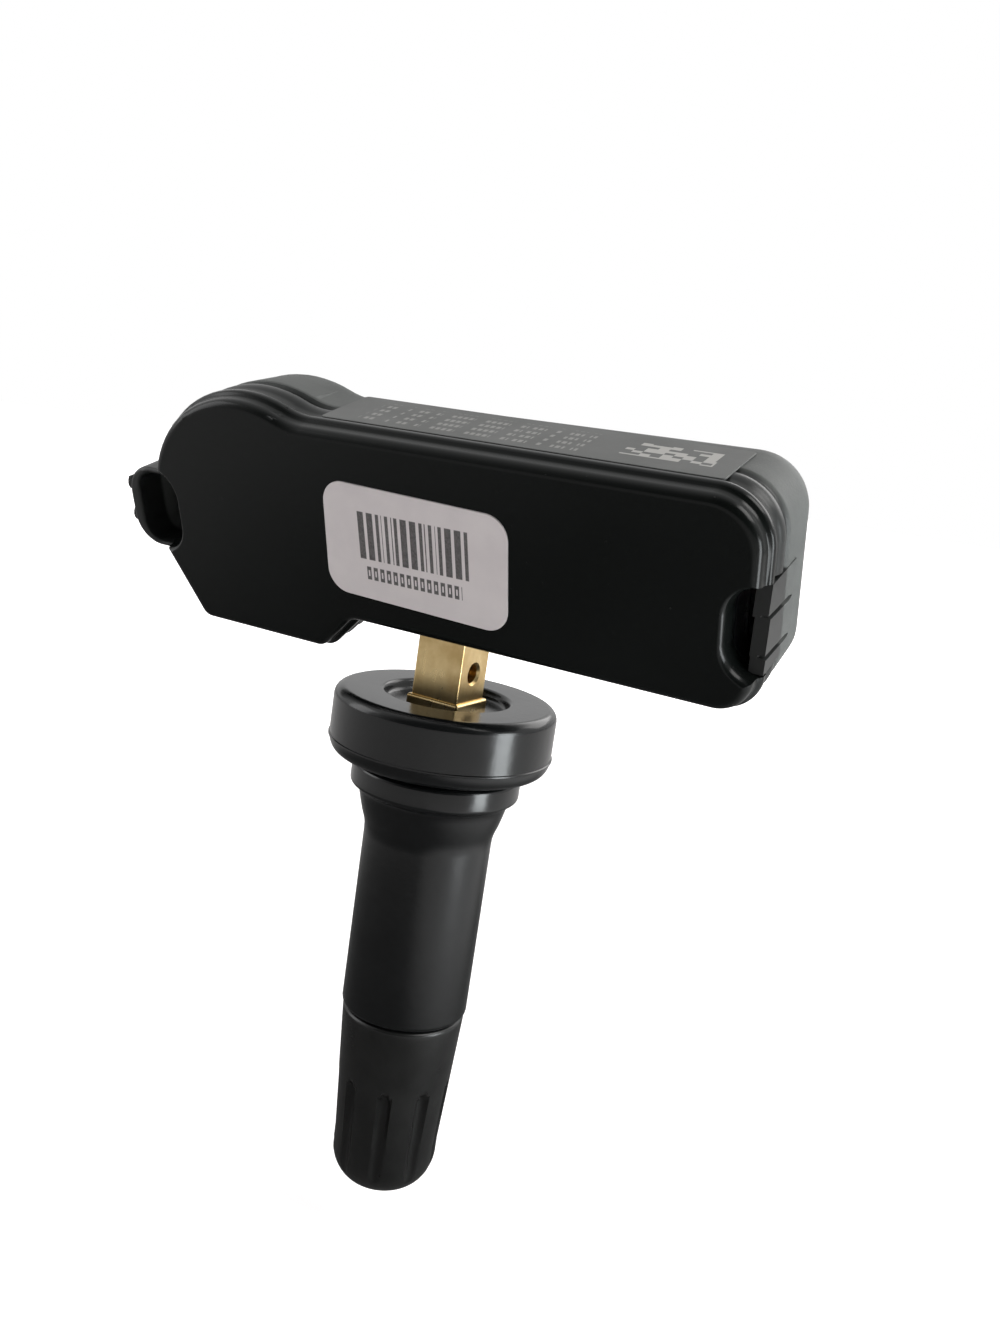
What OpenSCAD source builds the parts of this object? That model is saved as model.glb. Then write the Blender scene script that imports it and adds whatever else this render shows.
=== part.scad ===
// Snap-in tyre pressure sensor: an electronics case carried on a rubber valve.
// Row frame: the valve axis is Z, the cap points down, and the origin is the centre of
// the plane on which the rubber flange meets the wheel rim. The case leans back about X.
// Case frame: x along the case, y is the depth behind its front face, z is up.

/* [Case] */
// Height of the straight arm of the case
case_h = 16.5; // [15.5:0.25:19]
// Distance from the valve post to the end of the arm
case_right = 27.4; // [26:0.5:36]
// Depth of the case, from the front face to the back
case_d = 12; // [11.8:0.1:14]
// Thickness of the case walls
wall = 1.4; // [1.1:0.1:1.6]
// Corner radius at the top of the arm's end
corner_top_r = 4.2; // [3:0.2:6]
// Corner radius at the bottom of the arm's end
corner_low_r = 3.2; // [2.6:0.2:4]
// Rounding of the back edge
back_r = 2.6; // [2.4:0.2:3.6]

/* [Head] */
// Radius of the round head that houses the battery
head_r = 10.8; // [10.5:0.1:12]
// Distance from the valve post to the middle of the head
head_x = 16.4; // [16:0.2:20]
// Height of the head's top above the arm's top
head_rise = 1.3; // [1:0.1:1.8]
// Depth of the foot under the head, below the arm's lower face
foot_drop = 3.3; // [2.5:0.1:4]
// Length of the foot's flat underside
foot_l = 13.3; // [12:0.1:14]

/* [Cover] */
// Depth of the front cover's rim
cover_d = 2.2; // [2:0.1:2.8]
// Thickness of the cover's face
cover_t = 1.2; // [1:0.1:1.5]
// Depth of the cover's lip inside the case
lip_d = 1.0; // [0.8:0.1:1.4]
// Gap between the cover's lip and the case wall
lip_gap = 0.1; // [0.05:0.05:0.2]

/* [Grip tabs] */
// Height of the grip pockets
pocket_h = 6.9; // [6:0.1:7.5]
// Depth behind the front face to which the pockets reach
pocket_d = 9.4; // [8:0.1:9.6]
// Width of each pocket, at the cover
pocket_w = 2.5; // [2:0.1:2.8]
// Thickness of each tab
tab_t = 1.3; // [1.1:0.1:1.5]
// Distance that the left tab stands out from the head
tab_reach = 5; // [4.6:0.1:5.4]
// Height of the ribs on the tabs
rib_h = 0.45; // [0.3:0.05:0.6]

/* [Labels] */
// Length of the white sticker
sticker_l = 16.5; // [14:0.5:18]
// Height of the white sticker
sticker_h = 9.4; // [8:0.2:11]
// Length of the label on the case's top
top_label_l = 32.9; // [28:0.5:33]
// Width of the label on the case's top
top_label_w = 6.2; // [5:0.1:6.3]
// Thickness of both labels
label_t = 0.12; // [0.08:0.01:0.2]

/* [Electronics] */
// Gap between the coin cell and the walls round it
cell_gap = 0.1; // [0.1:0.05:0.4]
// Thickness of the coin cell
cell_t = 3.2; // [2.5:0.1:3.2]
// Thickness of the circuit board
board_t = 1.0; // [0.8:0.1:1.2]
// Depth behind the front face at which the board's front lies
board_y = 5.0; // [4.8:0.1:5.1]
// Width of the pressure chip
chip_w = 6; // [4:0.5:7]

/* [Valve] */
// Lean of the case about the long axis, against the valve
tilt = 20; // [16:0.5:22]
// Width of the square brass post
post_w = 4.4; // [4:0.1:4.8]
// Height of the post's top above the rim plane
post_top = 20.15; // [19.5:0.05:20.45]
// Diameter of the rubber flange
flange_d = 18.8; // [17.5:0.1:20]
// Height of the rubber flange above the rim plane
flange_h = 5.6; // [5.2:0.1:6.2]
// Diameter of the groove that sits in the rim hole
groove_d = 11.8; // [11.4:0.1:12.4]
// Height of the flange's hollow underside
dish_h = 1.4; // [0.8:0.1:1.8]
// Depth of the top of the barb ring below the rim plane
ring_top = 0.5; // [0.4:0.1:1.2]
// Diameter of the barb ring
ring_d = 14.4; // [13.6:0.1:15.2]
// Diameter of the rubber barrel
barrel_d = 11; // [10.4:0.1:11.4]
// Depth of the end of the rubber barrel below the rim plane
barrel_end = 22.6; // [21:0.1:24]
// Diameter of the air way through the stem
air_d = 1.8; // [1.4:0.1:2.2]
// Diameter of the cross hole in the post
cross_d = 1.6; // [1.2:0.1:1.8]

/* [Stem thread and cap] */
// Outer diameter of the stem's thread
thread_d = 7.7; // [7.5:0.05:7.8]
// Length of the stem that stands out of the rubber
thread_l = 12; // [11.4:0.1:12.8]
// Running gap between the stem's thread and the cap
thread_gap = 0.05; // [0.02:0.01:0.09]
// Diameter of the cap's open end
cap_d = 10.7; // [10.1:0.1:11]
// Diameter of the cap where its dome starts
cap_tip_d = 9.3; // [8.9:0.1:9.7]
// Length of the cap
cap_l = 16.8; // [16.4:0.1:18.4]
// Number of flutes round the cap
flutes = 9; // [6:1:12]
// Radius of each flute
flute_r = 0.55; // [0.3:0.05:0.6]

/* [Valve core] */
// Diameter of the valve core's thread
core_d = 5.2; // [5:0.05:5.3]
// Diameter of the air way below the core's seat
core_low_d = 4.2; // [4:0.1:4.4]
// Travel of the core's pin
core_travel = 1.5; // [1:0.1:1.8]
// Diameter of the core's pin
pin_d = 0.8; // [0.7:0.05:0.9]
// Wire diameter of the core's spring
spring_wire = 0.3; // [0.2:0.02:0.32]
// Number of turns of the core's spring
spring_turns = 6; // [4:1:8]

/* [Hidden] */
round_fn = 64;
fine_fn = 32;

// The valve's parting line, and the level about which the case leans, in the row frame
parting_z = 1.4;
lean_z = 1.95;
post_y = 2.4;
post_drop = 10;
fit_gap = 0.05;

// Outline of the case, as corners [x, z, radius] round the case in the case frame: the
// third and the last are the hollow ones, where the arm meets the head and the foot
blend_r = 6;
blend_steps = 3;
head_z = case_h + head_rise - head_r;
head_top_a = acos((sqrt(pow(head_r + blend_r, 2) - pow(case_h + blend_r - head_z, 2)))
                  / (head_r + blend_r));
head_mid_a = (head_top_a + 180) / 2;
head_q = head_r / cos((180 - head_top_a) / 4);
joint_x = -head_x + (head_r - sin(head_top_a) * (case_h - head_z)) / cos(head_top_a);
foot_r = 1.6;
foot_shift = 0.25;
foot_right = -head_x - foot_shift + foot_l / 2;
foot_left = foot_right - foot_l;

// Grip pockets, on both ends of the case
pocket_z = 6.6;
pocket_r = 2.3;
pocket_wall = 0.9;
pocket_rim = 0.3;
right_pocket_x = case_right - pocket_w;
left_pocket_x = -head_x - head_r + pocket_w + pocket_rim;
chamfer_z = pocket_z - pocket_h / 2 + 0.2;

// Coin cell, as large as fits between the left pocket's wall and the positive tab, and
// under the arm's roof
boss_w = post_w + 3.4;
cell_left = left_pocket_x + pocket_wall + 0.7;
cell_right = -boss_w / 2 - 2.9;
cell_d = min(cell_right - cell_left, 2 * (case_h - wall - cell_gap - head_z));
cell_x = cell_left + cell_d / 2;
foot_z = min(-foot_drop, head_z - cell_d / 2 - wall - 0.3);

outline_corners = [
    [case_right, 0, corner_low_r],
    [case_right, case_h, corner_top_r],
    [joint_x, case_h, blend_r],
    [-head_x + head_q * cos((head_top_a + head_mid_a) / 2),
     head_z + head_q * sin((head_top_a + head_mid_a) / 2), head_r],
    [-head_x + head_q * cos((head_mid_a + 180) / 2),
     head_z + head_q * sin((head_mid_a + 180) / 2), head_r],
    [-head_x - head_r, chamfer_z, foot_r],
    [foot_left, foot_z, foot_r],
    [foot_right, foot_z, foot_r],
    [foot_right - foot_z, 0, foot_r]];

// Depths inside the case
cavity_back = case_d - 1.2;
inner_r = back_r - 1;
lip_back = cover_d + lip_d;
board_back = board_y + board_t;
tab_metal_t = 0.25;
cell_y = board_back + tab_metal_t;
cell_back = cell_y + cell_t;
cradle_y = cell_back - 0.9;
rim_back = cover_d + 2.2;
band_inset = 0.1;
taper = 0.2;
taper_back = case_d - back_r;

// Height of the case's top at a depth behind the cover
function top_z(y) =
    case_h - band_inset
    - (taper - band_inset) * max(0, y - rim_back) / (taper_back - rim_back);

// Grip tabs
right_tab_x = case_right + 0.1 - tab_t;
left_tab_x = -head_x - head_r - tab_reach;
left_tab_y = cover_d + 0.1;
tab_h = 6.6;
tab_low = pocket_z - tab_h / 2 - 1.4;
tab_top = tab_low + tab_h + 0.8;
tab_web = 0.55;

// Holder of the post
boss_top = 8.8;
screw_z = post_top - 2.5;
screw_r = 1.25;
screw_head_r = 2.2;
screw_head_h = 1.3;
screw_seat_y = post_w / 2 + 1.2;
screw_l = 4.6;

// Pressure port in the back wall, ahead of the chip
chip_x = 11;
chip_z = 9;
chip_t = 1.6;
chip_back = board_back + chip_t;
port_r = 0.8;
port_tube_r = 1.9;
membrane_r = 1.8;
membrane_t = 0.3;

// Stem and core, down the valve axis
thread_end = -barrel_end - thread_l;
thread_r = thread_d / 2;
core_r = core_d / 2;
core_low_r = core_low_d / 2;
core_mouth = thread_end + 0.5;
core_seat = thread_end + 6;
seat_l = 0.8;
core_end = core_seat + 3.8;
core_neck_r = 1.5;
core_bore_r = 1.1;
core_shelf = core_end - 2.0;
pin_r = pin_d / 2;
collar_z = core_mouth + 1.6;
collar_t = 0.3;
collar_r = core_bore_r - 0.15;
seal_r = core_low_r - 0.4;
seal_t = 1.2;
chamber_top = core_end + seal_t + core_travel + 4;
cross_z = 7.85;

// Cap and its washer
cap_top = -barrel_end - 0.15;
cap_tip = cap_top - cap_l;
dome_h = 4.4;
washer_t = 0.8;
washer_z = thread_end - fit_gap - washer_t;
cap_bore_r = thread_r + thread_gap;
flute_top = cap_top - 6.3;

// Points of an outline moved inwards by g, with each corner rounded by an arc
function unit(v) = v / norm(v);
function turned(v) = [-v[1], v[0]];
function corner_arc(a, b, c, r, g) =
    let(u = unit([b[0] - a[0], b[1] - a[1]]),
        v = unit([c[0] - b[0], c[1] - b[1]]),
        side = u[0] * v[1] - u[1] * v[0] > 0 ? 1 : -1,
        nu = turned(u),
        nv = turned(v),
        turn = side * acos(u * v),
        keep = side > 0 ? max(r, g + 0.3) : r,
        shift = side * keep / (1 + nu * nv),
        mid = [b[0] + (nu[0] + nv[0]) * shift, b[1] + (nu[1] + nv[1]) * shift],
        start = atan2(-side * nu[1], -side * nu[0]),
        steps = side > 0 ? max(2, ceil(abs(turn) / 15)) : blend_steps)
    [for (k = [0 : steps])
        [mid[0] + (keep - side * g) * cos(start + turn * k / steps),
         mid[1] + (keep - side * g) * sin(start + turn * k / steps)]];
function outline_arcs(g) =
    let(c = outline_corners, n = len(c))
    [for (i = [0 : n - 1])
        corner_arc(c[(i + n - 1) % n], c[i], c[(i + 1) % n], c[i][2], g)];
function outline(g) = [for (arc = outline_arcs(g)) each arc];

// Places children of the case frame in the row frame
module in_case() {
    translate([0, 0, lean_z])
        rotate([tilt, 0, 0])
            translate([0, -post_y, post_drop])
                children();
}

// Extrudes an outline drawn in x and z over a stretch of the depth
module through(y0, y1) {
    translate([0, y0, 0])
        mirror([0, 1, 0])
            rotate([90, 0, 0])
                linear_extrude(y1 - y0)
                    children();
}

// Flat end of the skin in convex pieces: the arm, the neck between both blends, the head
function end_faces(n) =
    let(counts = [for (arc = outline_arcs(0)) len(arc)],
        top = counts[0] + counts[1],
        low = n - 1 - blend_steps)
    concat([concat([n - 1], [for (i = [0 : top]) i])],
           [for (k = [0 : blend_steps - 1]) [top + k, top + k + 1, n - 2 - k, n - 1 - k]],
           [[for (i = [top + blend_steps : low]) i]]);

// Skins the case outline over rings of [depth, inset]
module case_skin(rings) {
    loops = [for (ring = rings) outline(ring[1])];
    n = len(loops[0]);
    last = len(rings) - 1;
    points = [for (k = [0 : last]) for (p = loops[k]) [p[0], rings[k][0], p[1]]];
    sides = [for (k = [0 : last - 1]) for (i = [0 : n - 1])
        let(j = (i + 1) % n) [k * n + i, k * n + j, (k + 1) * n + j, (k + 1) * n + i]];
    front = [for (face = end_faces(n)) [for (i = [len(face) - 1 : -1 : 0]) face[i]]];
    back = [for (face = end_faces(n)) [for (i = face) last * n + i]];
    polyhedron(points, concat(front, back, sides), convexity = 6);
}

// Rings that round an edge of radius r off an inset, ending at a depth
function edge_rings(y_start, y_end, inset, r, steps) =
    [for (k = [0 : steps])
        let(a = 90 * k / steps)
        [y_start + (y_end - y_start) * sin(a), inset + r * (1 - cos(a))]];

// D-shaped pocket: x0 is its flat-backed inner end, dir its way out, reach its length
module pocket_shape(x0, dir, reach, grow = 0) {
    h = pocket_h / 2 + grow;
    r = pocket_r + grow;
    for (s = [-1, 1])
        translate([x0 + dir * (r - grow), pocket_z + s * (h - r)])
            circle(r, $fn = fine_fn);
    translate([min(x0 + dir * (pocket_r), x0 + dir * reach), pocket_z - h])
        square([abs(reach - pocket_r), 2 * h]);
    translate([x0 + (dir > 0 ? -grow : -pocket_r), pocket_z - h + r])
        square([pocket_r + grow, 2 * (h - r)]);
}

// Ribs along a tab's outer face
module tab_ribs(x, y0, y1, offsets) {
    for (dz = offsets)
        translate([x, y0, pocket_z + dz])
            rotate([-90, 0, 0])
                cylinder(r = rib_h, h = y1 - y0, $fn = fine_fn);
}

// Loop that carries the left tab, standing out from the head
module tab_block(x0, x1, z0, z1, r) {
    for (z = [z0 + r, z1 - r])
        translate([x0 + r, z])
            circle(r, $fn = fine_fn);
    translate([x0, z0 + r])
        square([r, z1 - z0 - 2 * r]);
    translate([x0 + r, z0])
        square([x1 - x0 - r, z1 - z0]);
}
module left_tab_shape() {
    tab_block(left_tab_x, left_pocket_x, tab_low, tab_top, 2.7);
}
module left_tab_hollow() {
    tab_block(left_tab_x + tab_t, left_pocket_x - 1.3, tab_low + tab_web, tab_top - tab_web, 1.7);
}

// Square post, grown by a gap, over a stretch of the valve axis
module post_box(z0, z1, gap = 0) {
    w = post_w + 2 * gap;
    translate([-w / 2, -w / 2, z0])
        cube([w, w, z1 - z0]);
}

// Case outline moved inwards, clear of both grip pockets grown by their walls
module inner_shape(inset, grow) {
    difference() {
        polygon(outline(inset));
        both_pockets(grow);
    }
}
module both_pockets(grow = 0) {
    pocket_shape(right_pocket_x, 1, 6, grow);
    pocket_shape(left_pocket_x, -1, 6, grow);
}

// Sections of the pieces that stand inside the rear shell, drawn in x and z
module boss_shape() {
    translate([-boss_w / 2, -5])
        square([boss_w, boss_top + 5]);
}
module peg_shapes() {
    for (p = [[case_right - 6.5, case_h - 4.2], [-6.6, case_h - 3.4]])
        translate(p)
            circle(1.4, $fn = fine_fn);
}
module port_tube_shape() {
    translate([chip_x, chip_z])
        difference() {
            circle(port_tube_r + 0.8, $fn = fine_fn);
            circle(port_tube_r + fit_gap, $fn = fine_fn);
        }
}
module cell_shape(grow) {
    translate([cell_x, head_z])
        circle(cell_d / 2 + grow, $fn = round_fn);
}
module cradle_shape() {
    difference() {
        cell_shape(0.9);
        cell_shape(cell_gap);
        translate([cell_x + cell_d / 2 - 2, head_z - 3])
            square([6, 6]);
    }
}

// Hollow of the rear shell, in slabs from the cover to the back wall
module housing_cavity() {
    through(cover_d - 1, lip_back + 0.3)
        inner_shape(wall, pocket_wall);
    through(lip_back + 0.3, board_back)
        difference() {
            inner_shape(wall, pocket_wall);
            boss_shape();
        }
    through(board_back, cradle_y)
        difference() {
            inner_shape(wall, pocket_wall);
            boss_shape();
            peg_shapes();
        }
    through(cradle_y, cavity_back)
        difference() {
            inner_shape(wall + taper + inner_r * 0.3, pocket_wall);
            boss_shape();
            peg_shapes();
            port_tube_shape();
            cradle_shape();
        }
    through(cradle_y, cell_back + tab_metal_t)
        cell_shape(cell_gap);
}

module housing() {
    color([0.3, 0.31, 0.31])
    difference() {
        in_case()
            difference() {
                union() {
                    case_skin(concat([[cover_d + fit_gap, band_inset], [rim_back, band_inset]],
                                     edge_rings(taper_back, case_d, taper, back_r, 3)));
                    through(left_tab_y, pocket_d + 0.8)
                        left_tab_shape();
                    tab_ribs(left_tab_x, left_tab_y, pocket_d, [0.6, -2.2]);
                    tab_ribs(case_right - taper / 2, rim_back + 0.3, pocket_d + 0.2, [-1.2, -4.1]);
                }
                housing_cavity();
                through(0, rim_back)
                    pocket_shape(right_pocket_x, 1, 6);
                through(0, left_tab_y)
                    pocket_shape(left_pocket_x, -1, 6);
                through(rim_back - 1, pocket_d)
                    intersection() {
                        pocket_shape(right_pocket_x, 1, 6);
                        translate([0, -5])
                            square([right_tab_x, 30]);
                    }
                through(left_tab_y - 1, pocket_d)
                    left_tab_hollow();
                through(left_tab_y - 1, pocket_d)
                    intersection() {
                        pocket_shape(left_pocket_x, -1, 6);
                        translate([left_pocket_x - 2.1, -5])
                            square([30, 30]);
                    }
                translate([chip_x, cavity_back - 1, chip_z])
                    rotate([-90, 0, 0])
                        cylinder(r = port_r, h = 4, $fn = fine_fn);
                translate([chip_x, case_d - membrane_t, chip_z])
                    rotate([-90, 0, 0])
                        cylinder(r = membrane_r, h = 1, $fn = fine_fn);
            }
        post_box(foot_top + 0.1, post_top + fit_gap, fit_gap);
        translate([0, 0, screw_z])
            rotate([-90, 0, 0])
                cylinder(r = screw_r + fit_gap, h = 20, $fn = fine_fn);
        translate([0, screw_seat_y, screw_z])
            rotate([-90, 0, 0])
                cylinder(r = screw_head_r + 0.2, h = 20, $fn = fine_fn);
    }
}

// Front cover: a stepped rim, a thin face and a lip that enters the rear shell
module cover() {
    rim = wall + lip_gap + 0.7;
    color([0.06, 0.06, 0.065])
    in_case()
        union() {
            difference() {
                case_skin([[0, 1.1], [0.3, 0.5], [0.9, 0.25], [1.3, 0], [cover_d, 0]]);
                through(cover_t, cover_d + 1)
                    inner_shape(rim, pocket_wall);
                through(-1, cover_d + 1)
                    both_pockets();
            }
            through(cover_d, lip_back)
                difference() {
                    inner_shape(wall + lip_gap, pocket_wall + lip_gap);
                    polygon(outline(rim));
                }
        }
}

// Flat label with round corners, centred, drawn in x and z
module label_shape(l, h, r) {
    square([l - 2 * r, h], center = true);
    square([l, h - 2 * r], center = true);
    for (sx = [-1, 1], sz = [-1, 1])
        translate([sx * (l / 2 - r), sz * (h / 2 - r)])
            circle(r, $fn = fine_fn);
}

module front_label() {
    color([0.86, 0.83, 0.83])
    in_case()
        translate([0.1, 0, case_h / 2 - 0.7])
            rotate([0, 1.8, 0])
                through(-label_t, 0)
                    label_shape(sticker_l, sticker_h, 1.9);
}

// Label that lies on the case's top, bent where the top starts to fall
module top_label() {
    y0 = cover_d + fit_gap;
    depths = [y0, rim_back, y0 + top_label_w];
    low = [for (y = depths) [y, top_z(y)]];
    high = [for (i = [2 : -1 : 0]) [depths[i], top_z(depths[i]) + label_t]];
    color([0.45, 0.46, 0.46])
    in_case()
        translate([case_right - 3.9 - top_label_l, 0, 0])
            rotate([90, 0, 90])
                linear_extrude(top_label_l)
                    polygon(concat(low, high));
}

module circuit_board() {
    color([0.1, 0.3, 0.16])
    in_case()
        difference() {
            through(board_y, board_back)
                polygon(outline(wall + 0.5));
            through(board_y - 1, board_back + 1) {
                pocket_shape(right_pocket_x, 1, 6, pocket_wall + 0.2);
                pocket_shape(left_pocket_x, -1, 6, pocket_wall + 0.2);
            }
            translate([-boss_w / 2 - 0.2, 0, -5])
                cube([boss_w + 0.4, 20, boss_top + 5.2]);
        }
}

// Coin cell: its negative side is a narrower step towards the board
cell_step = 1;
cell_step_t = 0.4;
module coin_cell() {
    color([0.72, 0.72, 0.7])
    in_case()
        translate([cell_x, cell_y, head_z])
            rotate([-90, 0, 0])
                union() {
                    cylinder(d = cell_d - 2 * cell_step, h = cell_step_t, $fn = round_fn);
                    translate([0, 0, cell_step_t])
                        cylinder(d = cell_d, h = cell_t - cell_step_t, $fn = round_fn);
                }
}

// Contact strips of the cell, under it and over it
strip_low_w = 4.4;
strip_low_l = 7;
strip_high_w = 3.2;
strip_gap = 0.35;
strip_foot_l = 1.4;
module battery_tab_negative() {
    color([0.75, 0.73, 0.66])
    in_case()
        translate([cell_x - strip_low_l / 2 + 1.5, board_back, head_z - strip_low_w / 2])
            cube([strip_low_l, tab_metal_t, strip_low_w]);
}

module battery_tab_positive() {
    bend_x = cell_x + cell_d / 2 + strip_gap;
    color([0.75, 0.73, 0.66])
    in_case()
        translate([0, 0, head_z - strip_high_w / 2]) {
            translate([cell_x, cell_back, 0])
                cube([bend_x + tab_metal_t - cell_x, tab_metal_t, strip_high_w]);
            translate([bend_x, board_back, 0])
                cube([tab_metal_t, cell_back + tab_metal_t - board_back, strip_high_w]);
            translate([bend_x, board_back, 0])
                cube([strip_foot_l, tab_metal_t, strip_high_w]);
        }
}

module sensor_chip() {
    color([0.08, 0.08, 0.09])
    in_case()
        difference() {
            translate([chip_x - chip_w / 2, board_back, chip_z - chip_w / 2])
                cube([chip_w, chip_t, chip_w]);
            translate([chip_x, board_back + 0.5, chip_z])
                rotate([-90, 0, 0])
                    cylinder(r = port_r, h = chip_t, $fn = fine_fn);
        }
}

module port_seal() {
    color([0.75, 0.75, 0.72])
    in_case()
        translate([chip_x, chip_back, chip_z])
            rotate([-90, 0, 0])
                difference() {
                    cylinder(r = port_tube_r, h = cavity_back - chip_back, $fn = fine_fn);
                    translate([0, 0, -1])
                        cylinder(r = port_r + 0.3, h = 8, $fn = fine_fn);
                }
}

module port_membrane() {
    color([0.9, 0.9, 0.88])
    in_case()
        translate([chip_x, case_d - membrane_t, chip_z])
            rotate([-90, 0, 0])
                cylinder(r = membrane_r - fit_gap, h = 0.2, $fn = fine_fn);
}

// Wire bow over the board, on two legs
antenna_left = -3.6;
antenna_right = case_right - 4.9;
antenna_z = case_h - 4.4;
antenna_t = 0.5;
antenna_w = 1;
antenna_y = lip_back - 1.2;
module antenna() {
    color([0.8, 0.6, 0.35])
    in_case() {
        translate([antenna_left, antenna_y, antenna_z])
            cube([antenna_right - antenna_left, antenna_t, antenna_w]);
        for (x = [antenna_left, antenna_right - antenna_t])
            translate([x, antenna_y, antenna_z])
                cube([antenna_t, board_y - antenna_y, antenna_w]);
    }
}

// Low-frequency wake-up coil: a drum core lying along the board
coil_l = 7.5;
coil_x = 13;
coil_z = 3.6;
coil_h = 2.4;
module lf_coil_core() {
    color([0.2, 0.19, 0.19])
    in_case()
        translate([coil_x, board_y - coil_h, coil_z]) {
            translate([-coil_l / 2, 0.5, -0.7])
                cube([coil_l, coil_h - 1, 1.4]);
            for (x = [-coil_l / 2, coil_l / 2 - 1])
                translate([x, 0, -1.2])
                    cube([1, coil_h, 2.4]);
        }
}

module lf_coil_winding() {
    color([0.7, 0.38, 0.2])
    in_case()
        translate([coil_x, board_y - coil_h, coil_z])
            difference() {
                translate([-coil_l / 2 + 1, 0.15, -1.05])
                    cube([coil_l - 2, coil_h - 0.3, 2.1]);
                translate([-coil_l / 2, 0.5, -0.7])
                    cube([coil_l, coil_h - 1, 1.4]);
            }
}

module crystal() {
    color([0.8, 0.8, 0.78])
    in_case()
        translate([case_right - 8.6, board_y - 0.8, case_h - 8.8])
            cube([3.2, 0.8, 2.5]);
}

// Rows of chip parts on the board's front, four rows of one size each [width, height, length]
small_capacitor = [0.8, 0.8, 1.6];
large_capacitor = [1.25, 1.2, 2.0];
resistor = [0.8, 0.45, 1.6];
arm_row_x = 6.2;
arm_row_high = 8.2;
arm_row_low = 5.4;
arm_pitch = 1.9;
head_row_x = -head_x - 4;
head_row_high = head_z + 4;
head_row_low = head_z - 5;
head_pitch = 2.4;
module chip_row(x0, z0, count, pitch, size) {
    for (i = [0 : count - 1])
        translate([x0 + i * pitch, board_y - size[1], z0])
            cube(size);
}

module chip_capacitors() {
    color([0.62, 0.52, 0.4])
    in_case() {
        chip_row(arm_row_x, arm_row_high, 4, arm_pitch, small_capacitor);
        chip_row(head_row_x, head_row_high, 3, head_pitch, large_capacitor);
    }
}

module chip_resistors() {
    color([0.12, 0.12, 0.13])
    in_case() {
        chip_row(arm_row_x, arm_row_low, 3, arm_pitch, resistor);
        chip_row(head_row_x, head_row_low, 3, head_pitch, resistor);
    }
}

module post_screw() {
    color([0.7, 0.7, 0.72])
    translate([0, screw_seat_y, screw_z])
        rotate([-90, 0, 0])
            difference() {
                union() {
                    cylinder(r = screw_head_r, h = screw_head_h, $fn = fine_fn);
                    translate([0, 0, -screw_l])
                        cylinder(r = screw_r, h = screw_l, $fn = fine_fn);
                }
                for (a = [0 : 60 : 120])
                    rotate([0, 0, a])
                        translate([-1.25, -0.35, screw_head_h - 0.8])
                            cube([2.5, 0.7, 2]);
            }
}

// Stem: a square post above, a barbed tube in the rubber, and a threaded end
stem_r = 3.3;
stem_barb_r = 3.9;
foot_w = post_w + 0.6;
foot_top = flange_h - 0.1;
recess_floor = flange_h - 0.9;
module stem_outer(gap = 0) {
    translate([0, 0, -barrel_end + 2])
        cylinder(r = stem_r + gap, h = recess_floor + barrel_end - 3, $fn = round_fn);
    for (z = [-14, -8, -2])
        translate([0, 0, z])
            cylinder(r1 = stem_barb_r + gap, r2 = stem_r + gap, h = 1.6, $fn = round_fn);
    translate([0, 0, thread_end])
        cylinder(r = thread_r + gap, h = -barrel_end + 2 - thread_end, $fn = round_fn);
    translate([-foot_w / 2 - gap, -foot_w / 2 - gap, recess_floor - 1.6])
        cube([foot_w + 2 * gap, foot_w + 2 * gap, foot_top - recess_floor + 1.6]);
}

module brass_stem() {
    color([0.8, 0.62, 0.3])
    difference() {
        union() {
            stem_outer();
            post_box(recess_floor, post_top);
        }
        translate([0, 0, chamber_top - 1])
            cylinder(d = air_d, h = cross_z - chamber_top + 1, $fn = fine_fn);
        translate([-10, 0, cross_z])
            rotate([0, 90, 0])
                cylinder(d = cross_d, h = 20, $fn = fine_fn);
        translate([0, 0, core_seat + seat_l])
            cylinder(r = core_low_r, h = chamber_top - core_seat - seat_l, $fn = fine_fn);
        translate([0, 0, core_seat])
            cylinder(r1 = core_r, r2 = core_low_r, h = seat_l, $fn = fine_fn);
        translate([0, 0, thread_end - 1])
            cylinder(r = core_r, h = core_seat - thread_end + 1, $fn = fine_fn);
        translate([0, screw_seat_y, screw_z])
            rotate([90, 0, 0])
                cylinder(r = screw_r, h = screw_l, $fn = fine_fn);
        translate([0, 0, thread_end - 0.01])
            difference() {
                cylinder(r = thread_r + 1, h = 0.6, $fn = round_fn);
                cylinder(r1 = thread_r - 0.6, r2 = thread_r, h = 0.61, $fn = round_fn);
            }
    }
}

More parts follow.
